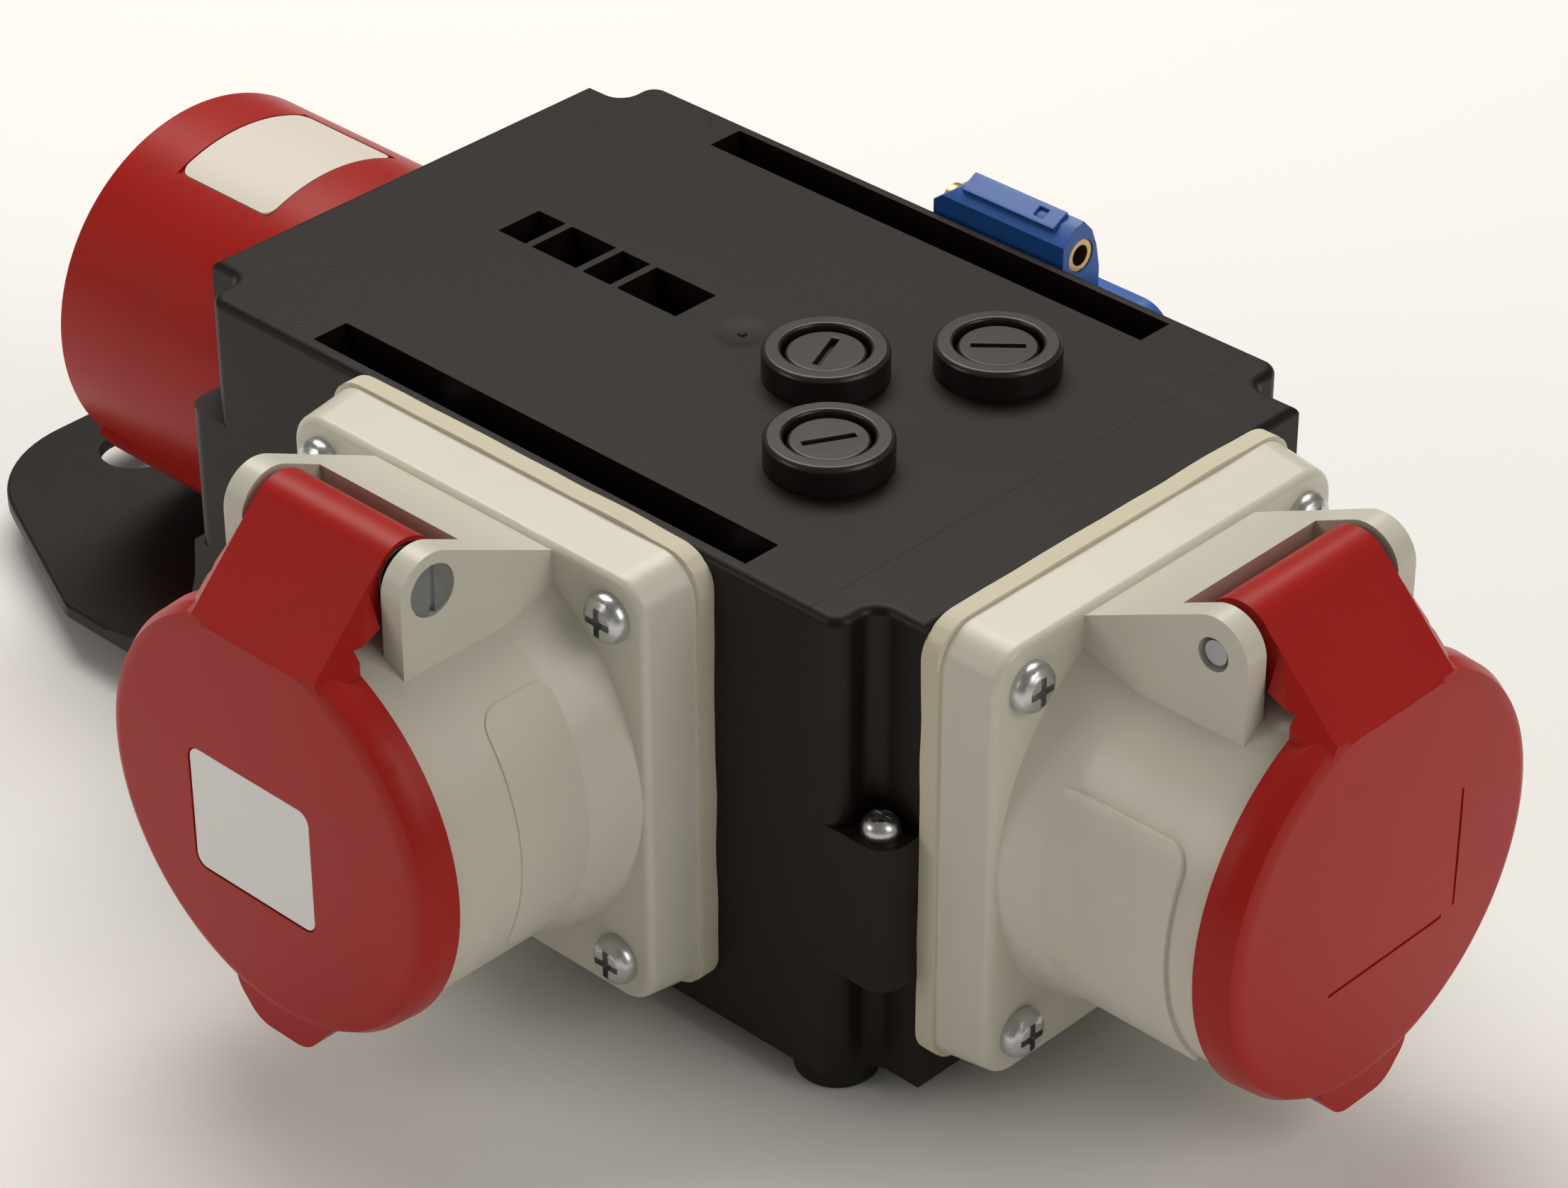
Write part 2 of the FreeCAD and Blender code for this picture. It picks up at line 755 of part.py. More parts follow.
def make_outlet_body(side):
    half = S["flange_side"] / 2
    flange = prism("y", square(half + 1, half + 1), S["gasket_thick"], S["flange_thick"])
    pad = flange.Tip
    pad.TaperAngle = -5.0
    doc.recompute()
    flange = round_edges(flange, lambda e: e.BoundBox.YLength > float(S["flange_thick"]) - 0.01,
                         S["flange_corner"])
    face = -float(flange_face)
    flange = round_edges(flange, lambda e: abs(middle(e).y - face) < 0.01, 1.4)
    inner = S["collar_radius"] - S["collar_wall"]
    depth = S["gasket_thick"] + 7
    collar = turned("y", [
        (S["insert_radius"] + 0.1, -S["gasket_thick"]),
        (S["collar_foot_radius"], -S["gasket_thick"]),
        (S["collar_foot_radius"], -flange_face), (S["collar_foot_radius"] - 0.9, -flange_face - 3),
        (S["collar_radius"], -flange_face - 10), (S["collar_radius"], -S["collar_front"]),
        (inner, -S["collar_front"]), (inner, -depth), (S["insert_radius"] + 0.1, -depth),
    ])
    well = rod("y", (0, 0), (-S["collar_front"] - 9, -depth), inner)
    bore = rod("y", (0, 0), (-depth - 1, 0), S["insert_radius"] + 0.1)
    reach = (-flange_face - 1, -S["gasket_thick"] + 1)
    holes = [rod("y", place, reach, thread_hole) for place in screw_grid(S["screw_spacing"])]
    pin = S["hinge_pin_radius"]
    out, up = -S["hinge_out"], S["hinge_up"]
    ears = (-S["ear_outer"] - 1, S["ear_outer"] + 1)
    holes.append(rod("x", (out, up), ears, pin + 0.02))
    holes.append(rod("x", (out, up), (S["ear_outer"] - 1.8, ears[1]), S["pin_head_radius"] + 0.1))
    keep_clear = rod("y", (0, 0), (-S["collar_front"] - 9, -S["collar_front"]), S["lid_radius"] + 1)
    base = fuse([flange, collar, hinge_block()])
    seat("outlet_body", side, cut(base, [well, bore, keep_clear] + holes))


def make_outlet_gasket(side):
    half = S["gasket_side"] / 2
    sheet = prism("y", square(half, half), 0, S["gasket_thick"])
    sheet = round_edges(sheet, lambda e: runs_along(e, "y"), S["flange_corner"])
    span = (-S["gasket_thick"] - 1, 1)
    tools = [rod("y", (0, 0), span, S["insert_radius"] + 1.5)]
    tools += [rod("y", place, span, thread_hole) for place in screw_grid(S["screw_spacing"])]
    seat("flange_gasket", side, cut(sheet, tools))


def make_outlet_screws(side):
    screws = []
    for x, z in screw_grid(S["screw_spacing"]):
        screw = pan_screw(S["screw_head_radius"], flange_face + S["wall"] + 1)
        screws.append(move(screw, x, -flange_face, z))
    seat("flange_screws", side, group(screws))


def sleeve_bore(number):
    """The earth contact, number 0, takes a thicker pin than the other four."""
    return S["earth_sleeve_bore"] if number == 0 else S["sleeve_bore"]


def make_outlet_insert(side):
    depth = S["gasket_thick"] + 7
    inner = S["collar_radius"] - S["collar_wall"]
    insert = turned("y", [
        (0, -S["collar_front"] + 8), (S["boss_radius"], -S["collar_front"] + 8),
        (S["boss_radius"], -depth - 3), (inner - 0.3, -depth - 3), (inner - 0.3, -depth),
        (S["insert_radius"], -depth), (S["insert_radius"], S["wall"]),
        (S["insert_radius"] - 2.2, S["wall"]), (S["insert_radius"] - 2.2, 12), (0, 12),
    ])
    span = (-S["collar_front"], 11)
    holes = []
    for number, place in enumerate(contact_places(S["contact_circle"])):
        hole = sleeve_bore(number) + S["sleeve_wall"] + S["contact_gap"]
        holes.append(rod("y", place, span, hole))
    seat("contact_insert", side, cut(insert, holes))


def make_outlet_sleeves(side):
    span = (-S["collar_front"] + 9.5, 10.5)
    sleeves = []
    for number, place in enumerate(contact_places(S["contact_circle"])):
        tube = rod("y", place, span, sleeve_bore(number) + S["sleeve_wall"])
        bore = rod("y", place, (span[0] - 1, span[1] - 12), sleeve_bore(number))
        sleeves.append(cut(tube, [bore]))
    seat("contact_sleeves", side, group(sleeves))


NECK_LEAN = Rotation(Vector(1, 0, 0), 46)


def neck_touch():
    """Where the lid's flat neck touches its barrel; the neck's normal leans out by 46 degrees."""
    barrel = S["barrel_radius"]
    return S["hinge_out"] + barrel * 0.719, S["hinge_up"] + barrel * 0.695


def lid_neck():
    """The arm between the lid's disc and its barrel: a flat front whose sides flare to the rim."""
    out, up = S["hinge_out"], S["hinge_up"]
    touch_out, touch_up = neck_touch()
    front = S["lid_front"] - 0.4
    rim = S["lid_back"] + 0.1
    half = S["barrel_half"]
    plate = prism("x", [
        (-touch_out, touch_up), (-front, touch_up - (front - touch_out) * 1.036), (-front, 22),
        (-rim, 22), (-rim, S["lid_radius"] - 0.3), (-(out + 6.4), up - 4.3),
        (-(out + 2.9), up - 5.6), (-out, up),
    ], -(half + 4), half * 2 + 8)
    side, spread = half + 0.1, half + 3.1
    narrow = prism("y", [(-side, 18), (side, 18), (side, up + 12), (-side, up + 12)], 20, 60)
    # in front of the ears the sides run out to the rim
    wide = prism("y", [
        (-spread, 18), (spread, 18), (spread, 33), (side, up + 0.7), (-side, up + 0.7),
        (-spread, 33),
    ], out + S["ear_radius"] + 1.0, 40)
    mask = fuse([narrow, wide])
    flare, depth = half + 16.7, 14
    sides = prism("z", [(-flare, -60), (flare, -60), (flare, 40), (-flare, 40)], -depth, depth)
    sides.Tip.TaperAngle = -50.0
    doc.recompute()
    sides = group([sides])
    move(sides, 0, -touch_out, touch_up, NECK_LEAN)
    return common(common(plate, mask), sides)


def neck_trim():
    """What stands in front of the neck's flat front, which the disc's rounded edge gives up."""
    half = S["barrel_half"]
    slab = prism("z", [(-half, -26), (half, -26), (half, -2), (-half, -2)], 0, 8)
    touch_out, touch_up = neck_touch()
    return move(group([slab]), 0, -touch_out, touch_up, NECK_LEAN)


def label_sheet(grow, thick):
    """The label's outline on the front lid, made larger by grow and standing out from its seat."""
    half_w, half_h = S["label_width"] / 2 + grow, S["label_height"] / 2 + grow
    corners = [(x - 2.2, z - 3.2) for x, z in square(half_w, half_h)]
    sheet = prism("y", corners, S["lid_front"] - 0.1, thick)
    return round_edges(sheet, lambda e: runs_along(e, "y"), S["label_corner"] + grow)


def make_lid(side):
    radius, back, front = S["lid_radius"], S["lid_back"], S["lid_front"]
    skin = S["lid_skin"]
    disc = turned("y", [
        (0, -front - 0.5), (radius * 0.5, -front - 0.35), (radius - 3.2, -front),
        (radius - 1.3, -front + 0.8), (radius - 0.3, -front + 2.6), (radius, -back),
        (radius - 2.4, -back), (radius - 2.4, -front + skin), (0, -front + skin),
    ])
    tab = prism("y", [
        (-10.5, -27), (10.5, -27), (9.5, -33.5), (5.2, -38.2), (-5.2, -38.2), (-9.5, -33.5),
    ], back + 0.2, front - back - 1.4)
    tab = round_edges(tab, lambda e: runs_along(e, "y") and middle(e).z < -30, 5.5)
    out, up = -S["hinge_out"], S["hinge_up"]
    barrel = rod("x", (out, up), (-S["barrel_half"], S["barrel_half"]), S["barrel_radius"])
    bore = rod("x", (out, up), (-20, 20), S["hinge_pin_radius"] + S["pin_gap"])
    lid = fuse([disc, tab, barrel, lid_neck()])
    spring_room = rod("x", (out, up), (S["spring_seat"], 20), S["spring_room"])
    cup = rod("y", (0, 0), (-front + skin, -back + 1), radius - 2.4)
    tools = [bore, spring_room, cup, neck_trim()]
    if side == "front":
        tools.append(label_sheet(0.3, 2.0))
    else:
        groove = (-front - 2, -front - 0.1)
        tools.append(box((16.2, 16.8), groove, (-11.6, 8.8)))
        tools.append(box((-12, 13.8), groove, (-12.5, -11.9)))
    seat("lid", side, cut(lid, tools))


def make_lid_label():
    seat("lid_label", "front", label_sheet(0, 0.3))


def make_lid_seal(side):
    outer = S["lid_radius"] - 2.5
    inner = S["collar_radius"] - S["collar_wall"] + 0.4
    front = S["lid_front"] - S["lid_skin"]
    seal = turned("y", [
        (inner, -front), (outer, -front), (outer, -S["lid_back"] - 0.1), (inner, -S["lid_back"] - 0.1),
    ])
    seat("lid_seal", side, seal)


def make_hinge_pin(side):
    radius, head = S["hinge_pin_radius"], S["pin_head_radius"]
    out, up = -S["hinge_out"], S["hinge_up"]
    end = S["ear_outer"]
    tail = rod("x", (out, up), (-end + 0.6, -end + 3), radius - S["pin_tail_step"])
    shank = rod("x", (out, up), (-end + 2.4, end - 1), radius)
    cap = rod("x", (out, up), (end - 1.8, end - 0.3), head)
    slot = box((end - 1.1, end + 1), (out - 0.6, out + 0.6), (up - head, up + head))
    seat("hinge_pin", side, cut(fuse([tail, shank, cap]), [slot]))


def coil(radius, wire, turns):
    """A close-wound spring about +Z from z = 0, as turns that overlap a little."""
    rings = []
    for index in range(turns):
        ring = doc.addObject("Part::Torus", new_name("ring"))
        ring.Radius1 = radius
        ring.Radius2 = wire
        rings.append(move(ring, 0, 0, wire + index * wire * 1.85))
    return fuse(rings)


def make_lid_spring(side):
    spring = coil(4.2, 0.5, 3)
    start = S["spring_seat"] + 0.2
    move(spring, start, -S["hinge_out"], S["hinge_up"], TURN_TO["x"])
    seat("lid_spring", side, group([spring]))


def make_outlets():
    for side in ("front", "right"):
        make_outlet_body(side)
        make_outlet_gasket(side)
        make_outlet_screws(side)
        make_outlet_insert(side)
        make_outlet_sleeves(side)
        make_lid(side)
        make_lid_seal(side)
        make_hinge_pin(side)
        make_lid_spring(side)
    make_lid_label()


# ---------------------------------------------------------------- inlet

inlet_face = -half_length - S["inlet_gasket_thick"] - S["inlet_flange_thick"]
inlet_tip = -half_length - S["inlet_reach"]


def lift_inlet(name, item):
    keep(name, group([item]) if item.TypeId == "PartDesign::Body" else item)
    return move(parts[name], 0, 0, inlet_height)


def inlet_screw_grid():
    half = S["inlet_flange_side"] / 2 - 5.0
    return screw_grid(half * 2)


def label_band(inner, outer):
    """The stretch of a ring on the shroud's top that the label covers."""
    start = inlet_tip + S["inlet_label_start"]
    ring = turned("x", [
        (outer, start), (outer, start + S["inlet_label_length"]),
        (inner, start + S["inlet_label_length"]), (inner, start),
    ])
    half = S["inlet_label_half_width"]
    return common(ring, box((start - 1, start + 40), (-half, half), (10, outer + 5)))


def make_inlet_shroud():
    radius, inner = S["inlet_radius"], S["inlet_radius"] - S["inlet_wall"]
    back = -half_length - S["inlet_gasket_thick"]
    side = S["inlet_flange_side"] / 2
    flange = prism("x", square(side, side), inlet_face, S["inlet_flange_thick"])
    flange = round_edges(flange, lambda e: runs_along(e, "x"), S["flange_corner"])
    shroud = turned("x", [
        (inner, inlet_tip + 0.8), (inner + 0.8, inlet_tip), (radius - 0.8, inlet_tip),
        (radius, inlet_tip + 0.8), (radius, back), (inner, back),
    ])
    ridge = box((inlet_tip + 3, inlet_face), (-2.4, 2.4), (radius - 1.5, radius + 1.3))
    ridge.Placement = Placement(ridge.Placement.Base, Rotation())
    ridge_turned = group([ridge])
    ridge_turned.Placement = Placement(Vector(0, 0, 0), Rotation(Vector(1, 0, 0), 128))
    bore = rod("x", (0, 0), (inlet_face - 1, back + 1), S["insert_radius"] + 0.1)
    holes = [rod("x", place, (inlet_face - 1, back + 1), thread_hole) for place in inlet_screw_grid()]
    recess = label_band(radius - 0.45, radius + 3)
    solid = fuse([flange, shroud, ridge_turned])
    lift_inlet("inlet_shroud", cut(solid, [bore, recess] + holes))


def make_inlet_label():
    radius = S["inlet_radius"] - 0.45
    start = inlet_tip + S["inlet_label_start"]
    inset = 0.3
    end = start + S["inlet_label_length"]
    band = label_band(radius, radius + S["label_thick"])
    half = S["inlet_label_half_width"] - inset
    corners = [
        (start + inset, -half), (end - inset, -half), (end - inset, half), (start + inset, half),
    ]
    trim = prism("z", corners, 10, radius)
    trim = round_edges(trim, lambda e: runs_along(e, "z"), S["label_corner"])
    lift_inlet("inlet_label", common(band, trim))


def make_inlet_gasket():
    side = S["inlet_flange_side"] / 2
    back = -half_length
    sheet = prism("x", square(side, side), back - S["inlet_gasket_thick"], S["inlet_gasket_thick"])
    sheet = round_edges(sheet, lambda e: runs_along(e, "x"), S["flange_corner"])
    span = (back - S["inlet_gasket_thick"] - 1, back + 1)
    tools = [rod("x", (0, 0), span, S["insert_radius"] + 1.5)]
    tools += [rod("x", place, span, thread_hole) for place in inlet_screw_grid()]
    lift_inlet("inlet_gasket", cut(sheet, tools))


def make_inlet_screws():
    screws = []
    reach = S["inlet_gasket_thick"] + S["inlet_flange_thick"] + S["wall"] + 1
    for y, z in inlet_screw_grid():
        screw = pan_screw(S["corner_head_radius"], reach)
        screws.append(move(screw, inlet_face, y, z, Rotation(Vector(0, 0, 1), -90)))
    lift_inlet("inlet_screws", group(screws))


def pin_radius(number):
    """The earth pin, number 0, is thicker than the other four."""
    return S["inlet_earth_radius"] if number == 0 else S["inlet_pin_radius"]


def make_inlet_insert():
    rear = -half_length + 12
    inner = S["inlet_radius"] - S["inlet_wall"]
    insert = turned("x", [
        (0, inlet_face - 6), (inner - 0.3, inlet_face - 6), (inner - 0.3, inlet_face),
        (S["insert_radius"], inlet_face), (S["insert_radius"], rear), (0, rear),
    ])
    holes = []
    for number, place in enumerate(contact_places(S["inlet_pin_circle"])):
        hole = pin_radius(number) + S["inlet_pin_shoulder"] + S["contact_gap"]
        holes.append(rod("x", place, (inlet_face - 7, rear + 1), hole))
    lift_inlet("inlet_insert", cut(insert, holes))


def make_inlet_pins():
    pins = []
    tip = inlet_tip + 8
    for number, (y, z) in enumerate(contact_places(S["inlet_pin_circle"])):
        radius = pin_radius(number)
        held = radius + S["inlet_pin_shoulder"]
        pin = turned("x", [
            (0, tip), (radius * 0.5, tip), (radius, tip + 2.4), (radius, inlet_face - 6),
            (held, inlet_face - 6), (held, -half_length + 14), (0, -half_length + 14),
        ])
        pins.append(move(pin, 0, y, z))
    lift_inlet("inlet_pins", group(pins))


def make_inlet():
    make_inlet_shroud()
    make_inlet_gasket()
    make_inlet_insert()
    make_inlet_pins()
    make_inlet_screws()
    make_inlet_label()


# ---------------------------------------------------------------- blue domestic outlet
# Made outward along -Y like the others, then turned half round onto the +Y wall.


def seat_blue(name, item):
    keep(name, group([item]) if item.TypeId == "PartDesign::Body" else item)
    turn = Rotation(Vector(0, 0, 1), 180)
    return move(parts[name], S["blue_shift"], half_width, blue_height, turn)


blue_face = S["blue_gasket_thick"] + S["blue_flange_thick"]
blue_back = S["blue_gasket_thick"]


def make_blue_body():
    half = S["blue_flange_side"] / 2
    flange = prism("y", square(half, half), blue_back, S["blue_flange_thick"])
    flange = round_edges(flange, lambda e: runs_along(e, "y"), 5)
    well, ring = S["blue_well_radius"], S["blue_ring_radius"]
    rear = 10.0
    cup = turned("y", [
        (0, rear), (well + 2, rear), (well + 2, -blue_back), (ring, -blue_back),
        (ring, -S["blue_ring_front"]), (well, -S["blue_ring_front"]), (well, rear - 2.5), (0, rear - 2.5),
    ])
    out, up, end = S["blue_hinge_out"], S["blue_hinge_up"], S["blue_block_half"]
    block = prism("x", [
        (-0.4, up + 3.0), (-3.0, up + 5.3), (-5.2, up + 5.9), (-7.2, up + 3.7), (-8.4, up + 0.6),
        (-9.2, up - 3.6), (-9.2, up - 8), (-blue_face, up - 9.5), (-blue_face, half - 4), (-blue_back, half - 4), (-blue_back, up - 6),
        (-0.4, up - 6),
    ], -end, end * 2)
    inner = end - S["blue_ear_thick"]
    gap = (-inner, inner)
    swing = S["blue_knuckle_radius"] + 0.35
    room = [
        rod("x", (-out, up), gap, swing),
        box(gap, (-20, -out), (half - 4, up)),
        box(gap, (-20, -(out + 1.4)), (up - 1, up + 7)),
    ]
    # one end of the block falls away
    fall = prism("y", [
        (end - 6, up + 6.0), (end + 1, up + 0.9), (end + 1, up + 12), (end - 6, up + 12),
    ], -1, 20)
    room.append(fall)
    wall_bore = rod("y", (0, 0), (-S["blue_ring_front"] - 1, rear - 2.5), well)
    spread = S["blue_screw_spacing"]
    reach = (-blue_face - 1, 0)
    holes = [rod("y", place, reach, thread_hole) for place in screw_grid(spread)]
    head = S["corner_head_radius"] + 0.3
    span = (-S["blue_ring_front"] - 1, -blue_face)
    holes += [rod("y", place, span, head) for place in screw_grid(spread)]
    holes += [rod("y", (x, 0), (0, rear + 1), 2.6) for x in (-9.5, 9.5)]
    holes.append(rod("x", (-out, up), (-end - 1, end + 1), S["blue_tube_radius"] + 0.02))
    keep_solid = cut(fuse([flange, cup, cut(block, room)]), [wall_bore] + holes)
    seat_blue("blue_outlet_body", keep_solid)


def make_blue_small():
    half = S["blue_flange_side"] / 2
    sheet = prism("y", square(half, half), 0, S["blue_gasket_thick"])
    sheet = round_edges(sheet, lambda e: runs_along(e, "y"), 5)
    span = (-blue_back - 1, 1)
    tools = [rod("y", (0, 0), span, S["blue_well_radius"] + 2.4)]
    tools += [rod("y", place, span, thread_hole) for place in screw_grid(S["blue_screw_spacing"])]
    seat_blue("blue_gasket", cut(sheet, tools))
    screws = []
    for x, z in screw_grid(S["blue_screw_spacing"]):
        screw = pan_screw(S["corner_head_radius"], blue_face + S["wall"] + 1)
        screws.append(move(screw, x, -blue_face, z))
    seat_blue("blue_screws", group(screws))
    contacts = []
    for x in (-9.5, 9.5):
        tube = rod("y", (x, 0), (7.6, 22), 2.5)
        contacts.append(cut(tube, [rod("y", (x, 0), (7, 20), 2.1)]))
    seat_blue("blue_contacts", group(contacts))
    clips = []
    reach = S["blue_well_radius"] - 0.3
    for side in (-1, 1):
        outer, inner = side * reach, side * (reach - 1.6)
        low, high = (inner, outer) if side > 0 else (outer, inner)
        clips.append(box((-3, 3), (-S["blue_ring_front"] + 2, 7), (low, high)))
    seat_blue("blue_earth_clips", group(clips))


def make_blue_lid():
    out, up = S["blue_hinge_out"], S["blue_hinge_up"]
    half = S["blue_block_half"] - S["blue_ear_thick"]
    back = S["blue_ring_front"] + 0.3
    wide = S["blue_ring_radius"] + 0.5
    plate = prism("y", square(wide, wide), back, S["blue_lid_thick"])
    plate = round_edges(plate, lambda e: runs_along(e, "y"), 6)
    knuckle = rod("x", (-out, up), (-half + 0.3, half - 1.8), S["blue_knuckle_radius"])
    arm = prism("x", [
        (-out, up), (-(out + 3.3), up), (-(out + 3.3), up - 2.2), (-(out + 3.7), up - 3.4),
        (-(back + S["blue_lid_thick"]), wide - 1),
        (-(back + S["blue_lid_thick"]), wide - 6), (-back, wide - 6), (-back, wide + 1.5),
        (-(out + 1), up - 4),
    ], -half + 0.3, half * 2 - 2.1)
    bore = rod("x", (-out, up), (-20, 20), S["blue_tube_radius"] + S["pin_gap"])
    seat_blue("blue_lid", cut(fuse([plate, knuckle, arm]), [bore]))
    end = S["blue_block_half"]
    tube = rod("x", (-out, up), (-end + 0.2, end - 0.2), S["blue_tube_radius"])
    hollow = rod("x", (-out, up), (-end - 1, end + 1), S["blue_tube_bore"])
    seat_blue("blue_hinge_tube", cut(tube, [hollow]))
    spring = coil(3.35, 0.35, 2)
    move(spring, half - 1.65, -out, up, TURN_TO["x"])
    seat_blue("blue_lid_spring", group([spring]))


# ---------------------------------------------------------------- fuses


def make_fuse(number):
    x, y = FUSE_PLACES[number - 1]
    shank, rim, bore = S["fuse_shank_radius"], S["fuse_rim_radius"], S["fuse_bore"]
    rim_top = S["fuse_rim_height"]
    stem = S["fuse_cap_radius"] - 1.2
    holder = turned("z", [
        (0, -S["fuse_depth"]), (shank, -S["fuse_depth"]), (shank, 0), (rim, 0),
        (rim, rim_top - 0.6), (rim - 0.6, rim_top), (bore, rim_top), (bore, -3),
        (stem + 0.3, -3), (stem + 0.3, -S["fuse_depth"] + 2), (0, -S["fuse_depth"] + 2),
    ])
    cap_top = rim_top - S["fuse_cap_sink"]
    cap_bore = S["fuse_link_radius"] + S["fuse_gap"]
    cap = turned("z", [
        (0, cap_top), (S["fuse_cap_radius"] - 0.4, cap_top), (S["fuse_cap_radius"], cap_top - 0.4),
        (S["fuse_cap_radius"], -3), (stem, -3), (stem, -12), (cap_bore, -12), (cap_bore, -1), (0, -1),
    ])
    half = S["fuse_cap_radius"] * 0.66
    slot = box((-half, half), (-0.55, 0.55), (cap_top - 1.2, cap_top + 1))
    slot_turned = group([slot])
    slot_turned.Placement = Placement(Vector(), Rotation(Vector(0, 0, 1), CAP_SLOT_ANGLES[number - 1]))
    link_top = -1 - S["fuse_gap"]
    link = rod("z", (0, 0), (link_top - S["fuse_link_length"], link_top), S["fuse_link_radius"])
    below = -S["wall"]
    nut = doc.addObject("Part::Prism", new_name("nut"))
    nut.Polygon = 6
    bind(nut, "Circumradius", S["nut_radius"])
    bind(nut, "Height", S["nut_thick"])
    move(nut, 0, 0, below - S["nut_thick"])
    nut_bore = rod("z", (0, 0), (below - S["nut_thick"] - 1, below + 1), shank + 0.05)
    for name, item in (
        ("fuse_holder", group([holder])), ("fuse_cap", cut(cap, [slot_turned])),
        ("fuse_link", group([link])), ("fuse_nut", cut(nut, [nut_bore])),
    ):
        move(keep(name + "_" + str(number), item), x, y, top)


# ---------------------------------------------------------------- inside


def make_inside():
    floor = underside + S["wall"]
    long, wide, high = S["block_length"], S["block_width"], S["block_height"]
    start = -long / 2
    block = box((start, start + long), (-wide / 2, wide / 2), (floor, floor + high))
    ways = []
    for index in range(CONTACTS):
        x = start + long * (index + 0.5) / CONTACTS
        ways.append(rod("y", (x, floor + high * 0.5), (-wide, wide), S["wire_radius"] + 0.1))
        ways.append(rod("z", (x, 0), (floor + high * 0.5, floor + high + 1), 2.2))
    keep("terminal_block", cut(block, ways))
    wires = []
    level = floor + high * 0.5
    reach = half_width - S["wall"] - 15
    for index in range(CONTACTS):
        x = start + long * (index + 0.5) / CONTACTS
        wires.append(rod("y", (x, level), (-reach, -wide / 2 + 3), S["wire_radius"]))
        wires.append(rod("y", (x, level), (wide / 2 - 3, reach), S["wire_radius"]))
    keep("internal_wires", group(wires))


# ---------------------------------------------------------------- build, check, write

make_upper_shell()
make_lower_shell()
make_seal_and_feet()
make_housing_screws()
make_outlets()
make_inlet()
make_blue_body()
make_blue_small()
make_blue_lid()
for fuse_number in (1, 2, 3):
    make_fuse(fuse_number)
make_inside()
doc.recompute()

for item in doc.Objects:
    if "Invalid" in item.State or "Error" in item.State:
        raise RuntimeError("failed: " + item.Name + " " + str(item.State))
os.makedirs("parts", exist_ok=True)
for name, item in parts.items():
    shape = item.Shape
    if shape.isNull() or not shape.isValid() or not shape.Solids:
        raise RuntimeError("bad shape: " + name)
    print(name, "solids", len(shape.Solids), "volume", round(shape.Volume, 1))
    shape.exportStep("parts/" + name + ".step")
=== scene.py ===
import json
import math

import bmesh
import bpy
from mathutils import Matrix, Vector, noise


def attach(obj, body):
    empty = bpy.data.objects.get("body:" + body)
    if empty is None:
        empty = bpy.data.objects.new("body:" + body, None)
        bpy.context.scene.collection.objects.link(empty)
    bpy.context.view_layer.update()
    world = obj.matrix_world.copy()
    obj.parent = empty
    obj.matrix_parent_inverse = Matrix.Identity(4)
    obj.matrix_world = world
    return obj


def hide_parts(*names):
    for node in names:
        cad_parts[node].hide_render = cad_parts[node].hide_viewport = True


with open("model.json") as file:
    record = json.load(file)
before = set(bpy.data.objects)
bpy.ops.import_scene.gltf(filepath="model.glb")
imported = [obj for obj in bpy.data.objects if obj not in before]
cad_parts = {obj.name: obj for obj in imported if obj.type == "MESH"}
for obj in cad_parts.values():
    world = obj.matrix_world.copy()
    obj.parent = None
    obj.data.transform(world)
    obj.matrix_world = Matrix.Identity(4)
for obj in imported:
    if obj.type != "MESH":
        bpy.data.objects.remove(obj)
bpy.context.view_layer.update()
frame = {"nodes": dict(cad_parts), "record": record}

# sizes are in millimetres and degrees, except where a comment says metres
MM = 0.001


# ---------------------------------------------------------------- camera, floor and light

CAMERA_AZIMUTH, CAMERA_ELEVATION, CAMERA_ROLL = 43.772, 33.213, -0.132
CAMERA_PLACE = (0.4511, -0.4619, 0.4608)  # metres
LENS_LENGTH, SENSOR_WIDTH = 113.67, 36.0
CLIP_START, CLIP_END = 0.05, 20.0  # metres

WARM_WHITE, WARMER_WHITE = (1.0, 0.96, 0.9), (1.0, 0.95, 0.88)
# each softbox: its place, its width and height (metres), its watts and its tint
SOFTBOXES = {
    "key_softbox": ((-0.45, 0.35, 1.0), (0.9, 0.7), 10.5, WARM_WHITE),
    "front_softbox": ((-0.55, -1.05, 0.55), (0.5, 0.5), 2.2, WARMER_WHITE),
    "side_softbox": ((1.15, 0.2, 0.75), (0.7, 0.8), 4.9, WARM_WHITE),
}
SOFTBOX_AIM = (0, 0, 0.05)  # metres
ROOM_LIGHT = 0.2
FLOOR_REACH = 4.0  # metres


def add_to_scene(item):
    bpy.context.scene.collection.objects.link(item)
    return item


def make_camera():
    azimuth, elevation = math.radians(CAMERA_AZIMUTH), math.radians(CAMERA_ELEVATION)
    back = Vector((
        math.sin(azimuth) * math.cos(elevation),
        -math.cos(azimuth) * math.cos(elevation),
        math.sin(elevation),
    ))
    data = bpy.data.cameras.new("studio_camera")
    data.lens = LENS_LENGTH
    data.sensor_width = SENSOR_WIDTH
    data.clip_start, data.clip_end = CLIP_START, CLIP_END
    camera = add_to_scene(bpy.data.objects.new("studio_camera", data))
    camera.location = CAMERA_PLACE
    turn = (-back).to_track_quat("-Z", "Y")
    roll = Matrix.Rotation(math.radians(CAMERA_ROLL), 3, "Z").to_quaternion()
    camera.rotation_mode = "QUATERNION"
    camera.rotation_quaternion = turn @ roll
    bpy.context.scene.camera = camera


def make_softbox(name, place, size, power, tint):
    data = bpy.data.lights.new(name, "AREA")
    data.shape = "RECTANGLE"
    data.size, data.size_y = size
    data.energy = power
    data.color = tint
    light = add_to_scene(bpy.data.objects.new(name, data))
    light.location = place
    aim = Vector(SOFTBOX_AIM) - Vector(place)
    light.rotation_mode = "QUATERNION"
    light.rotation_quaternion = aim.to_track_quat("-Z", "Y")


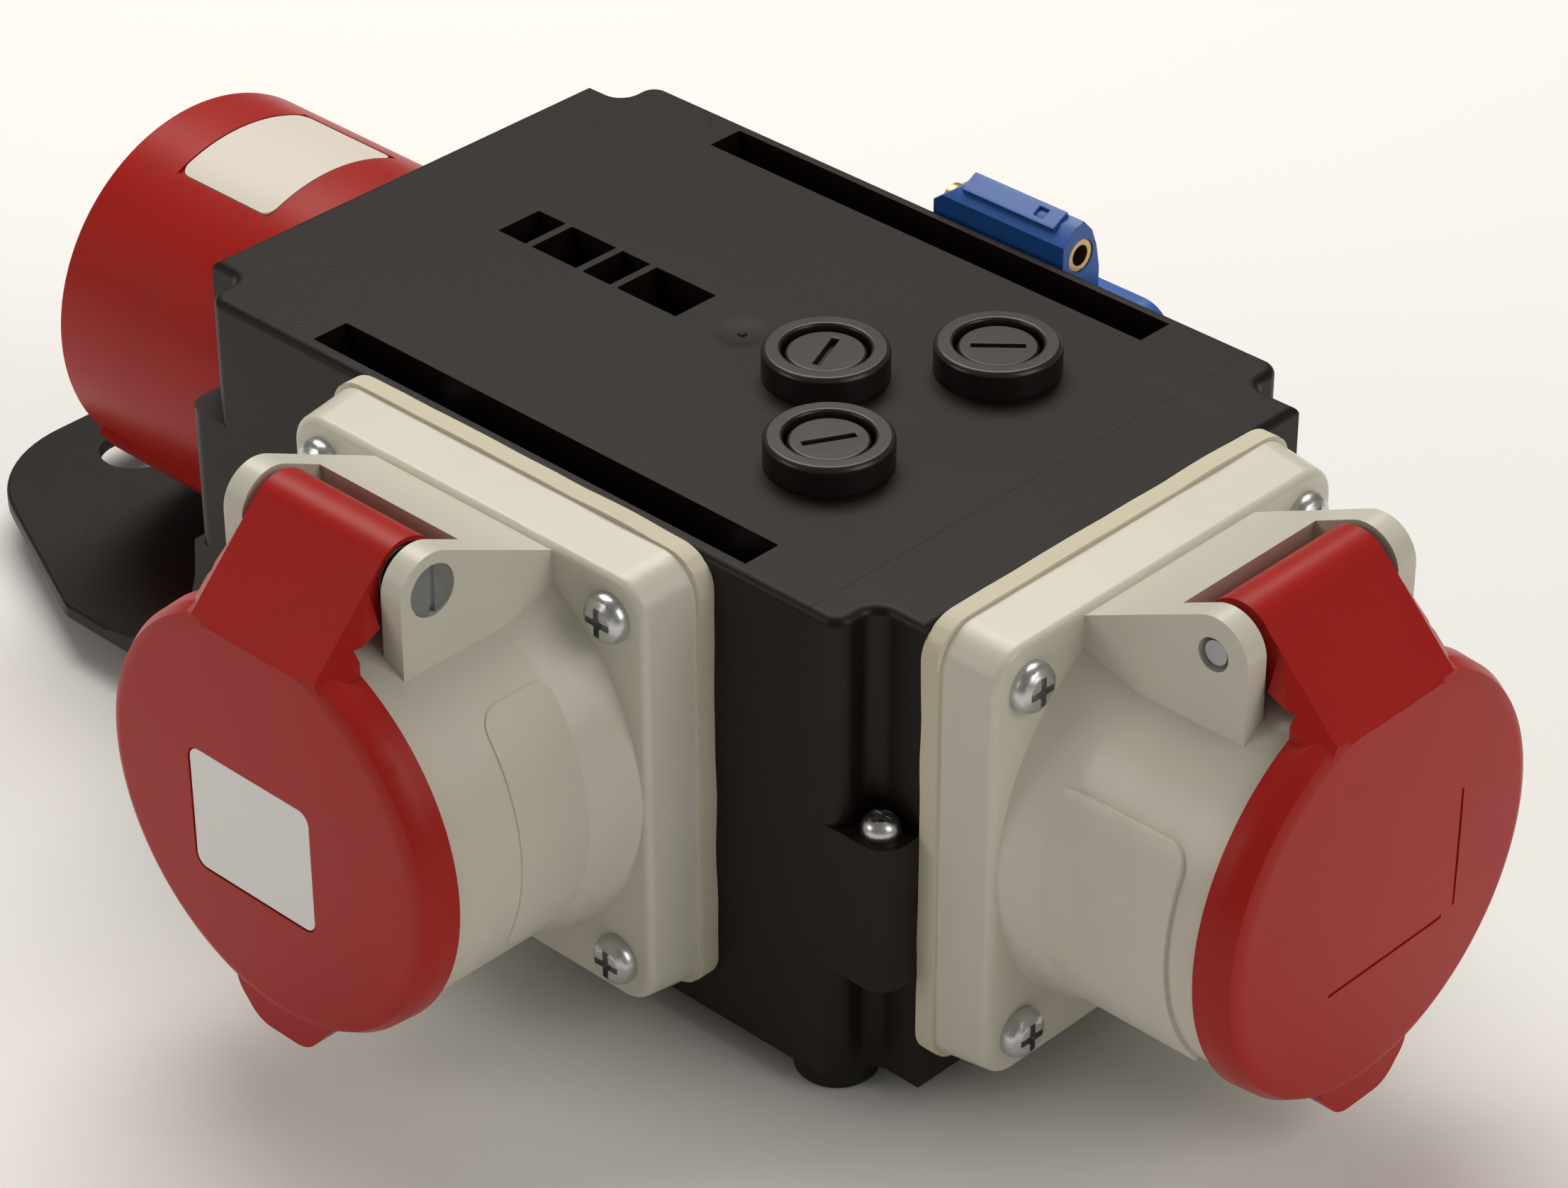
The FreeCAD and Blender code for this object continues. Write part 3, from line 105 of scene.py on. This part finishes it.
def make_lights():
    for name, values in SOFTBOXES.items():
        make_softbox(name, *values)
    world = bpy.data.worlds.new("studio")
    bpy.context.scene.world = world
    world.use_nodes = True
    backdrop = world.node_tree.nodes["Background"]
    backdrop.inputs["Color"].default_value = (*WARMER_WHITE, 1.0)
    backdrop.inputs["Strength"].default_value = ROOM_LIGHT
    bpy.context.scene.view_settings.view_transform = "Standard"


def make_floor():
    bm = bmesh.new()
    bmesh.ops.create_grid(bm, x_segments=1, y_segments=1, size=FLOOR_REACH)
    floor = new_object("studio_floor", bm)
    finish = Finish("studio_floor_paint", (0.93, 0.93, 0.93), 0.9, specular=0.0)
    cloud = finish.noise(3.0, 2)
    finish.set("Base Color", finish.mix(cloud, (0.92, 0.92, 0.92), (0.94, 0.94, 0.94)))
    floor.data.materials.append(finish.material)


# ---------------------------------------------------------------- material nodes


class Field:
    """A socket on its way through a material's nodes, with arithmetic."""

    def __init__(self, finish, socket):
        self.finish = finish
        self.socket = socket

    def __add__(self, other):
        return self.finish.math("ADD", self, other)

    def __radd__(self, other):
        return self.finish.math("ADD", other, self)

    def __sub__(self, other):
        return self.finish.math("SUBTRACT", self, other)

    def __rsub__(self, other):
        return self.finish.math("SUBTRACT", other, self)

    def __mul__(self, other):
        return self.finish.math("MULTIPLY", self, other)

    def __rmul__(self, other):
        return self.finish.math("MULTIPLY", other, self)


class Finish:
    """A procedural material built round one Principled shader, on the piece's own place."""

    def __init__(self, name, colour, roughness, metallic=0.0, specular=0.5):
        self.material = bpy.data.materials.new(name)
        self.material.use_nodes = True
        self.tree = self.material.node_tree
        self.shader = self.tree.nodes["Principled BSDF"]
        self.shader.inputs["Base Color"].default_value = (*colour, 1.0)
        self.shader.inputs["Roughness"].default_value = roughness
        self.shader.inputs["Metallic"].default_value = metallic
        self.shader.inputs["Specular IOR Level"].default_value = specular
        self.place = self.node("ShaderNodeTexCoord", output="Object")

    def node(self, kind, settings=None, inputs=None, output=0):
        """Adds a node, makes its settings, then fills its sockets with values or fields."""
        made = self.tree.nodes.new(kind)
        for key, value in (settings or {}).items():
            setattr(made, key, value)
        for key, value in (inputs or {}).items():
            if isinstance(value, Field):
                self.tree.links.new(value.socket, made.inputs[key])
            else:
                made.inputs[key].default_value = value
        return Field(self, made.outputs[output])

    def math(self, operation, left, right=0.0):
        return self.node("ShaderNodeMath", {"operation": operation}, {0: left, 1: right})

    def set(self, socket, field):
        """Feeds one of the shader's own sockets."""
        self.tree.links.new(field.socket, self.shader.inputs[socket])

    def noise(self, scale, detail=2.0, stretch=(1, 1, 1), rough=0.5):
        place = self.place
        if stretch != (1, 1, 1):
            place = self.node("ShaderNodeMapping", {}, {"Vector": place, "Scale": stretch})
        return self.node("ShaderNodeTexNoise", {}, {
            "Vector": place, "Scale": scale, "Detail": detail, "Roughness": rough,
        })

    def band(self, field, low, high):
        """Maps a field from low..high to 0..1 with soft ends."""
        return self.node("ShaderNodeMapRange", {"interpolation_type": "SMOOTHSTEP"}, {
            "Value": field, "From Min": low, "From Max": high,
        })

    def mix(self, share, first, second):
        """Blends two colours, each a field or three numbers."""
        return self.node("ShaderNodeMix", {"data_type": "RGBA"}, {
            0: share,
            6: first if isinstance(first, Field) else (*first, 1.0),
            7: second if isinstance(second, Field) else (*second, 1.0),
        }, output=2)

    def along(self, axis):
        """The piece's own X, Y or Z, as axis 0, 1 or 2, in metres."""
        return self.node("ShaderNodeSeparateXYZ", {}, {0: self.place}, output=axis)

    def facing_up(self):
        normal = self.node("ShaderNodeNewGeometry", output="Normal")
        return self.node("ShaderNodeSeparateXYZ", {}, {0: normal}, output=2)

    def bump(self, height, depth, strength):
        self.set("Normal", self.node("ShaderNodeBump", {}, {
            "Height": height, "Distance": depth, "Strength": strength,
        }))


# ---------------------------------------------------------------- materials

HOUSING_BASE = (0.010, 0.0052, 0.0042)
HOUSING_DARK, HOUSING_LIGHT = (0.0072, 0.0034, 0.0027), (0.0105, 0.0054, 0.0042)
# the lighter top colour is partly rub marks and partly painted sheen, laid on upward faces only
RUB_AND_SHEEN_TOP, DUST_SPECKS = (0.022, 0.017, 0.014), (0.10, 0.085, 0.065)
# faint moulding marks: a ring round each gate, two smooth spots and one tool line
GATE_RINGS = ((-57.6, 38.9), (-56.6, -37.6))
GATE_RING_RADIUS, GATE_RING_WIDTH = 9.2, 0.3
PLATE_SPOTS = ((-133.5, -28.8), (-133.5, 28.8))
PLATE_SPOT_RADIUS, PLATE_SPOT_EDGE = 4.9, 0.15
TOOL_LINE_X, TOOL_LINE_WIDTH = 59.3, 0.25


def disc_distance(finish, x, y, centre):
    """Distance in the plan from a centre."""
    across = x - centre[0] * MM
    along = y - centre[1] * MM
    return finish.math("SQRT", across * across + along * along)


def line_mask(finish, field, width):
    """1 where a field is near 0, falling to 0 over a width in millimetres."""
    return 1.0 - finish.band(finish.math("ABSOLUTE", field), width * MM * 0.3, width * MM)


def housing_finish(name):
    """Dark brown-black moulding: spark-eroded grain on top, rub marks lightened by painted sheen
    on upward faces, plainer sides, pale dust specks.
    """
    finish = Finish(name, HOUSING_BASE, 0.42, specular=0.24)
    top = finish.band(finish.facing_up(), 0.6, 0.95)
    x, y = finish.along(0), finish.along(1)
    grain = finish.noise(2600.0, 3.0)
    fine = finish.noise(6500.0, 2.0)
    cloud = finish.noise(14.0, 3.0)
    rub = finish.noise(45.0, 5.0, (0.35, 1.0, 1.0), 0.66)
    specks = finish.band(finish.noise(1300.0, 1.0), 0.75, 0.8) * top
    smooth_from = (PLATE_SPOT_RADIUS - PLATE_SPOT_EDGE) * MM
    spots = 0.0
    for centre in PLATE_SPOTS:
        near = disc_distance(finish, x, y, centre)
        spots = spots + (1.0 - finish.band(near, smooth_from, PLATE_SPOT_RADIUS * MM))
    lines = line_mask(finish, x - TOOL_LINE_X * MM, TOOL_LINE_WIDTH)
    for centre in GATE_RINGS:
        near = disc_distance(finish, x, y, centre)
        lines = lines + line_mask(finish, near - GATE_RING_RADIUS * MM, GATE_RING_WIDTH)
    colour = finish.mix(cloud, HOUSING_DARK, HOUSING_LIGHT)
    # painted sheen: rub-mark noise lightens only the upward faces, standing in for the top's
    # reflection
    colour = finish.mix(finish.band(rub, 0.55, 0.8) * top * 0.5, colour, RUB_AND_SHEEN_TOP)
    colour = finish.mix(specks * 0.6, colour, DUST_SPECKS)
    finish.set("Base Color", colour)
    worn = top * 0.12 + cloud * 0.06 + rub * 0.06 + specks * 0.2
    finish.set("Roughness", 0.36 + worn - spots * 0.1)
    height = (grain * 0.7 + fine * 0.3) * (0.2 + top * 0.8 - spots * 0.7) - lines * top * 1.2
    finish.bump(height, 0.06 * MM, 0.5)
    return finish.material


def moulded_finish(name, low, high, roughness, scuff=None, specular=0.5):
    """Smooth moulded plastic with faint flow clouds, orange peel and fine rub marks."""
    finish = Finish(name, high, roughness, specular=specular)
    cloud = finish.noise(22.0, 3.0)
    rub = finish.noise(60.0, 5.0, (1.0, 1.0, 0.35), 0.62)
    colour = finish.mix(cloud, low, high)
    if scuff is not None:
        colour = finish.mix(finish.band(rub, 0.54, 0.75) * 0.35, colour, scuff)
    finish.set("Base Color", colour)
    finish.set("Roughness", roughness - 0.05 + rub * 0.12 + cloud * 0.04)
    peel = finish.noise(420.0, 2.0)
    fine = finish.noise(2400.0, 2.0)
    finish.bump(peel * 0.8 + fine * 0.2, 0.02 * MM, 0.5)
    return finish.material


def metal_finish(name, low, high, roughness):
    """Drawn or plated metal, a little cloudy and finely grained."""
    finish = Finish(name, high, roughness, metallic=1.0)
    cloud = finish.noise(180.0, 3.0)
    grain = finish.noise(3000.0, 3.0)
    finish.set("Base Color", finish.mix(cloud, low, high))
    finish.set("Roughness", roughness - 0.06 + cloud * 0.16)
    finish.bump(grain, 0.01 * MM, 0.4)
    return finish.material


def soft_finish(name, low, high, roughness, scale, depth):
    """Foam, rubber, paper or wire cover: a matt surface with cells of one scale and depth."""
    finish = Finish(name, high, roughness, specular=0.3)
    cells = finish.noise(scale, 4.0, rough=0.65)
    cloud = finish.noise(40.0, 2.0)
    finish.set("Base Color", finish.mix(cells * 0.5 + cloud * 0.5, low, high))
    finish.set("Roughness", roughness - 0.05 + cells * 0.1)
    finish.bump(cells, depth * MM, 0.6)
    return finish.material


# darkest and lightest colour, roughness, then the scuffs' colour and the specular level if any
MOULDINGS = {
    "red_plastic": ((0.34, 0.011, 0.008), (0.43, 0.015, 0.011), 0.33, (0.26, 0.02, 0.014), 0.2),
    "grey_plastic": ((0.59, 0.57, 0.49), (0.65, 0.63, 0.54), 0.28, (0.54, 0.52, 0.44)),
    "blue_plastic": ((0.014, 0.09, 0.37), (0.02, 0.115, 0.45), 0.34, (0.03, 0.11, 0.35)),
    "insert_plastic": ((0.012, 0.012, 0.013), (0.02, 0.02, 0.021), 0.45),
    "fuse_plastic": ((0.010, 0.008, 0.0075), (0.014, 0.011, 0.010), 0.3),
    "cap_plastic": ((0.012, 0.009, 0.008), (0.018, 0.014, 0.012), 0.3),
    "fuse_ceramic": ((0.70, 0.69, 0.65), (0.78, 0.77, 0.73), 0.2),
}
# darkest and lightest colour, roughness
METALS = {
    "zinc_screws": ((0.52, 0.54, 0.55), (0.68, 0.69, 0.68), 0.28),
    "hinge_steel": ((0.36, 0.38, 0.40), (0.5, 0.52, 0.54), 0.36),
    "spring_steel": ((0.10, 0.10, 0.11), (0.2, 0.2, 0.21), 0.4),
    "contact_brass": ((0.62, 0.46, 0.2), (0.74, 0.58, 0.3), 0.25),
    "hinge_brass": ((0.55, 0.36, 0.15), (0.7, 0.5, 0.24), 0.3),
}
# darkest and lightest colour, roughness, scale and depth of the cells
SOFT_PARTS = {
    "foam_gasket": ((0.58, 0.53, 0.40), (0.70, 0.66, 0.53), 0.85, 1600.0, 0.1),
    "seal_rubber": ((0.012, 0.012, 0.012), (0.02, 0.02, 0.02), 0.7, 900.0, 0.03),
    "foot_rubber": ((0.009, 0.008, 0.0075), (0.016, 0.014, 0.013), 0.6, 1100.0, 0.03),
    "white_label": ((0.80, 0.80, 0.79), (0.84, 0.84, 0.83), 0.42, 500.0, 0.005),
    "cream_label": ((0.70, 0.66, 0.58), (0.76, 0.72, 0.65), 0.4, 500.0, 0.005),
    "wire_cover": ((0.02, 0.02, 0.02), (0.035, 0.035, 0.035), 0.5, 700.0, 0.02),
}

MATERIALS = {"housing_plastic": housing_finish("housing_plastic")}
for make_finish, table in (
    (moulded_finish, MOULDINGS), (metal_finish, METALS), (soft_finish, SOFT_PARTS),
):
    for name, values in table.items():
        MATERIALS[name] = make_finish(name, *values)


# ---------------------------------------------------------------- places and sizes

HALF_LENGTH, HALF_WIDTH, HOUSING_TOP = 74.5, 48.4, 85.4
OUTLET_LEVEL, BLUE_LEVEL = 48.3, 51.1
QUARTER_TURN, HALF_TURN = math.pi / 2, math.pi

# the frames that the outlets are built in: outward is -Y and up is +Z
FRONT_WALL = Matrix.Translation((3.2, -HALF_WIDTH, OUTLET_LEVEL))
RIGHT_WALL = (Matrix.Translation((HALF_LENGTH, -3.4, OUTLET_LEVEL))
              @ Matrix.Rotation(QUARTER_TURN, 4, "Z"))
BLUE_WALL = Matrix.Translation((8.0, HALF_WIDTH, BLUE_LEVEL)) @ Matrix.Rotation(HALF_TURN, 4, "Z")
OUTLETS = {"front": FRONT_WALL, "right": RIGHT_WALL}
TO_METRES = Matrix.Scale(MM, 4)
Z_TO_X = Matrix.Rotation(QUARTER_TURN, 4, "Y")

HINGE_OUT, HINGE_UP = 35.1, 39.8
BLUE_HINGE_OUT, BLUE_HINGE_UP = 4.7, 34.0
EAR_OUTER = 18.4
COLLAR_RADIUS = 33.1
FUSES = {1: (17.8, -0.5), 2: (35.2, 18.3), 3: (35.2, -18.3)}

# each wound spring: radius to the wire's middle, wire radius, turns, pitch, and where it starts
LID_SPRING = (4.2, 0.42, 2.6, 0.86, (11.2, -HINGE_OUT, HINGE_UP))
BLUE_SPRING = (3.5, 0.28, 1.8, 0.42, (7.85, -BLUE_HINGE_OUT, BLUE_HINGE_UP))

# edges that turn by more than this are rounded, by the widths that follow
SHARP_ANGLE = 34.0
EDGE_ROUNDS = {
    "upper_shell": 0.3, "lower_shell": 0.3, "rubber_feet": 0.2, "housing_screws": 0.12,
    "inlet_shroud": 0.35, "inlet_insert": 0.3, "inlet_pins": 0.2, "inlet_screws": 0.12,
    "blue_outlet_body": 0.3, "blue_lid": 0.35, "blue_screws": 0.12, "blue_hinge_tube": 0.15,
}
OUTLET_ROUNDS = {
    "outlet_body": 0.4, "lid": 0.45, "flange_screws": 0.15, "hinge_pin": 0.15,
    "contact_insert": 0.3,
}
FUSE_ROUNDS = {"fuse_holder": 0.25, "fuse_cap": 0.2}
EAR_ROUND, FUSE_MOUTH_ROUND = 1.4, 0.55
REMADE = {
    "front_flange_gasket", "right_flange_gasket",
    "front_lid_spring", "right_lid_spring", "blue_lid_spring",
}

SLOT_OF = {row["node"]: row["material_slot"] for row in frame["record"]["subparts"]}
BODY_OF = {
    node: body
    for body, nodes in frame["record"]["behaviour"]["bodies"].items()
    for node in nodes
}


# ---------------------------------------------------------------- mesh helpers


def new_object(name, bm):
    mesh = bpy.data.meshes.new(name)
    bm.to_mesh(mesh)
    bm.free()
    return add_to_scene(bpy.data.objects.new(name, mesh))


def finish_piece(piece, slot, body, *nodes):
    """Gives a piece its material and its body, and hides the CAD nodes that it stands for."""
    piece.data.materials.clear()
    piece.data.materials.append(MATERIALS[slot])
    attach(piece, body)
    if nodes:
        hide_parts(*nodes)


def make_piece(name, bm, slot, body, *nodes, crisp=40.0, even=True):
    """Shades a bmesh, with edges that turn by more than crisp kept sharp, and makes its piece.

    even keeps large flat faces evenly shaded next to their rounded edges.
    """
    limit = math.radians(crisp)
    for face in bm.faces:
        face.smooth = True
    for edge in bm.edges:
        edge.smooth = len(edge.link_faces) == 2 and edge.calc_face_angle(0.0) < limit
    piece = new_object(name, bm)
    if even:
        weigh = piece.modifiers.new("flat_shade", "WEIGHTED_NORMAL")
        weigh.keep_sharp = True
        weigh.weight = 50
    finish_piece(piece, slot, body, *nodes)


def sharp_edges(bm, angle):
    limit = math.radians(angle)
    return [e for e in bm.edges if len(e.link_faces) == 2 and e.calc_face_angle(0.0) > limit]


def bevel(bm, items, width, segments, affect="EDGES"):
    bmesh.ops.bevel(
        bm, geom=items, offset=width, offset_type="OFFSET", segments=segments, profile=0.5,
        affect=affect, clamp_overlap=True, material=-1)


def score(bm, axis, at):
    """Cuts every face along a plane, so that it can bend there or take a pocket."""
    bmesh.ops.bisect_plane(
        bm, geom=bm.verts[:] + bm.edges[:] + bm.faces[:],
        plane_co=[part * at for part in axis], plane_no=axis)


def place_mesh(bm, place):
    """Merges doubles, turns the faces outwards, and moves millimetres to their place in metres."""
    bmesh.ops.remove_doubles(bm, verts=bm.verts, dist=0.0005)
    bmesh.ops.recalc_face_normals(bm, faces=bm.faces)
    bmesh.ops.transform(bm, matrix=TO_METRES @ place, verts=bm.verts)


def joined_copy(node):
    """A copy of a CAD node, in metres, with its loose triangles joined into larger faces."""
    bm = bmesh.new()
    bm.from_mesh(frame["nodes"][node].data)
    bmesh.ops.remove_doubles(bm, verts=bm.verts, dist=0.002 * MM)
    bmesh.ops.dissolve_limit(
        bm, angle_limit=math.radians(0.4), verts=bm.verts, edges=bm.edges)
    return bm


# ---------------------------------------------------------------- CAD nodes


def keep_node(node):
    """A CAD node that shows as it is, with its procedural finish."""
    item = frame["nodes"][node]
    item.data.materials.clear()
    item.data.materials.append(MATERIALS[SLOT_OF[node]])


def softened(node, width, accepts=None, wide=0.0):
    """A copy of a CAD node with its sharp edges rounded, those that accepts picks more widely."""
    bm = joined_copy(node)
    if accepts:
        bevel(bm, [e for e in sharp_edges(bm, SHARP_ANGLE) if accepts(e)], wide * MM, 4)
    bevel(bm, sharp_edges(bm, SHARP_ANGLE), width * MM, 2)
    make_piece(node + "_look", bm, SLOT_OF[node], BODY_OF[node], node)


def on_ear_rim(side):
    """Picks the outer edges of an outlet's two ears, but not the pin's seat."""
    to_wall = (TO_METRES @ OUTLETS[side]).inverted()
    ear_foot, ear_back, pin_seat = 27, -14, 5.0

    def accepts(edge):
        for vert in edge.verts:
            x, y, z = to_wall @ vert.co
            from_pin = math.hypot(y + HINGE_OUT, z - HINGE_UP)
            off_side = abs(abs(x) - EAR_OUTER) > 0.06
            if off_side or z < ear_foot or y > ear_back or from_pin < pin_seat:
                return False
        return True

    return accepts


def on_fuse_mouth(number):
    """Picks the inner top edge of a fuse holder's rim."""
    centre = FUSES[number]
    mouth_radius, rim_level = 6.75, HOUSING_TOP + 4.5

    def accepts(edge):
        for vert in edge.verts:
            x, y, z = vert.co / MM
            near = math.hypot(x - centre[0], y - centre[1])
            if abs(near - mouth_radius) > 0.1 or z < rim_level:
                return False
        return True

    return accepts


def show_nodes():
    """Rounds the nodes that have a rounding, and shows the rest as they are."""
    rounds = {node: (width,) for node, width in EDGE_ROUNDS.items()}
    for side in OUTLETS:
        for part, width in OUTLET_ROUNDS.items():
            rounds[side + "_" + part] = (width,)
        rounds[side + "_outlet_body"] += (on_ear_rim(side), EAR_ROUND)
    for number in FUSES:
        for part, width in FUSE_ROUNDS.items():
            rounds[part + "_" + str(number)] = (width,)
        rounds["fuse_holder_" + str(number)] += (on_fuse_mouth(number), FUSE_MOUTH_ROUND)
    for node in SLOT_OF:
        if node in rounds:
            softened(node, *rounds[node])
        elif node not in REMADE:
            keep_node(node)


# ---------------------------------------------------------------- remade and added pieces


def wavy_gasket(side):
    """The foam sheet under an outlet, squeezed out a little between the screws."""
    cut_gap, cuts = 3.2, 11
    still_half, wave, swell_most, swell_mean = 36.5, 0.11, 0.35, 0.1
    rim_half, rim_round = 36.0, 0.45
    node = side + "_flange_gasket"
    bm = joined_copy(node)
    home = TO_METRES @ OUTLETS[side]
    bmesh.ops.transform(bm, matrix=home.inverted(), verts=bm.verts)
    for axis in ((1, 0, 0), (0, 0, 1)):
        for index in range(-cuts, cuts + 1):
            score(bm, axis, index * cut_gap)
    for vert in bm.verts:
        x, y, z = vert.co
        reach = max(abs(x), abs(z))
        if reach >= still_half:
            swell = swell_most * noise.noise(Vector((x * wave, 3.0, z * wave))) + swell_mean
            push = 1.0 + swell / reach
            vert.co = (x * push, y, z * push)
    rim = []
    for edge in sharp_edges(bm, 50.0):
        corner = edge.verts[0].co
        if max(abs(corner.x), abs(corner.z)) > rim_half:
            rim.append(edge)
    bevel(bm, rim, rim_round, 2)
    bmesh.ops.transform(bm, matrix=home, verts=bm.verts)
    make_piece(node + "_look", bm, SLOT_OF[node], BODY_OF[node], node)


def wound_spring(node, wall, radius, wire, turns, pitch, start):
    """A real wound spring in place of the CAD's closed rings."""
    bm = bmesh.new()
    section = Matrix.Translation((radius, 0, wire)) @ Matrix.Rotation(QUARTER_TURN, 4, "X")
    bmesh.ops.create_circle(bm, segments=10, radius=wire, matrix=section)
    steps = int(turns * 30)
    bmesh.ops.spin(
        bm, geom=bm.verts[:] + bm.edges[:], cent=(0, 0, 0), axis=(0, 0, 1),
        dvec=(0, 0, pitch * turns / steps), angle=math.tau * turns, steps=steps,
        use_merge=False, use_duplicate=False)
    bmesh.ops.holes_fill(bm, edges=[e for e in bm.edges if len(e.link_faces) == 1], sides=0)
    place_mesh(bm, wall @ (Matrix.Translation(start) @ Z_TO_X))
    make_piece(
        node + "_look", bm, SLOT_OF[node], BODY_OF[node], node, crisp=50.0, even=False)


def collar_pad(side, angles, outs, thick, hand):
    """A raised pad with rounded corners, bent round an outlet's collar.

    angles run up from the collar's side, outs run outwards from the wall, and hand is 1 for the
    collar's +X side or -1 for its -X side.
    """
    corner, steps, sunk = 3.5, 26, 0.3
    low, high = (math.radians(angle) * COLLAR_RADIUS for angle in angles)
    near, far = outs
    bm = bmesh.new()
    size = Matrix.Diagonal((high - low, far - near, 1, 1))
    middle = Matrix.Translation(((high + low) / 2, (near + far) / 2, 0))
    bmesh.ops.create_grid(bm, x_segments=1, y_segments=1, size=0.5, matrix=middle @ size)
    bevel(bm, bm.verts[:], corner, 5, affect="VERTICES")
    for index in range(1, steps):
        score(bm, (1, 0, 0), low + (high - low) * index / steps)
    raised = bmesh.ops.extrude_face_region(bm, geom=bm.faces[:])["geom"]
    top = [item for item in raised if isinstance(item, bmesh.types.BMVert)]
    bmesh.ops.translate(bm, vec=(0, 0, thick + sunk), verts=top)
    bmesh.ops.recalc_face_normals(bm, faces=bm.faces)
    rim = [e for e in sharp_edges(bm, 60.0) if min(v.co.z for v in e.verts) > thick]
    bevel(bm, rim, min(thick * 0.7, 0.5), 2)
    for vert in bm.verts:
        arc, out, height = vert.co
        angle, reach = arc / COLLAR_RADIUS, COLLAR_RADIUS - sunk + height
        vert.co = (hand * reach * math.cos(angle), -out, reach * math.sin(angle))
    place_mesh(bm, OUTLETS[side])
    make_piece(side + "_collar_pad", bm, "grey_plastic", "housing")


def gate_nub():
    """The small nub that the mould's gate leaves in the dimple on the top."""
    profile = [(0, 0.42), (0.45, 0.38), (0.75, 0.1), (0.9, -0.4), (0, -0.4)]
    dimple_depth = 0.56
    bm = bmesh.new()
    verts = [bm.verts.new((radius, 0, height)) for radius, height in profile]
    edges = [bm.edges.new(pair) for pair in zip(verts, verts[1:])]
    bmesh.ops.spin(
        bm, geom=verts + edges, cent=(0, 0, 0), axis=(0, 0, 1), angle=math.tau, steps=20,
        use_merge=True, use_duplicate=False)
    place_mesh(bm, Matrix.Translation((0, 0, HOUSING_TOP - dimple_depth)))
    make_piece("gate_nub", bm, "housing_plastic", "housing", even=False)


def blue_strip():
    """The raised strip on the blue hinge block, with a small square pocket near one end."""
    size = (19.0, 3.8, 1.2)
    place, lean = (-1.0, -3.26, 39.25), -27.1
    pocket_start, pocket_end, pocket_half, pocket_depth = -6.6, -4.6, 0.9, 0.9
    bm = bmesh.new()
    bmesh.ops.create_cube(bm, size=1.0, matrix=Matrix.Diagonal((*size, 1)))
    for at in (pocket_start, pocket_end):
        score(bm, (1, 0, 0), at)
    for at in (-pocket_half, pocket_half):
        score(bm, (0, 1, 0), at)
    pocket = []
    for face in bm.faces:
        middle = face.calc_center_median()
        within = pocket_start < middle.x < pocket_end and abs(middle.y) < pocket_half
        if face.normal.z > 0.9 and within:
            pocket.append(face)
    pushed = bmesh.ops.extrude_face_region(bm, geom=pocket)["geom"]
    floor = [item for item in pushed if isinstance(item, bmesh.types.BMVert)]
    bmesh.ops.delete(bm, geom=pocket, context="FACES_ONLY")
    bmesh.ops.translate(bm, vec=(0, 0, -pocket_depth), verts=floor)
    bevel(bm, sharp_edges(bm, 50.0), 0.15, 2)
    seat = Matrix.Translation(place) @ Matrix.Rotation(math.radians(lean), 4, "X")
    place_mesh(bm, BLUE_WALL @ seat)
    make_piece("blue_block_strip", bm, "blue_plastic", "housing")


make_camera()
make_floor()
make_lights()
show_nodes()
for side, wall in OUTLETS.items():
    wavy_gasket(side)
    wound_spring(side + "_lid_spring", wall, *LID_SPRING)
wound_spring("blue_lid_spring", BLUE_WALL, *BLUE_SPRING)
collar_pad("front", (-32, 41), (20.5, 34.0), 0.35, hand=1)
collar_pad("right", (-46, 29), (17.5, 41.5), 0.8, hand=-1)
gate_nub()
blue_strip()
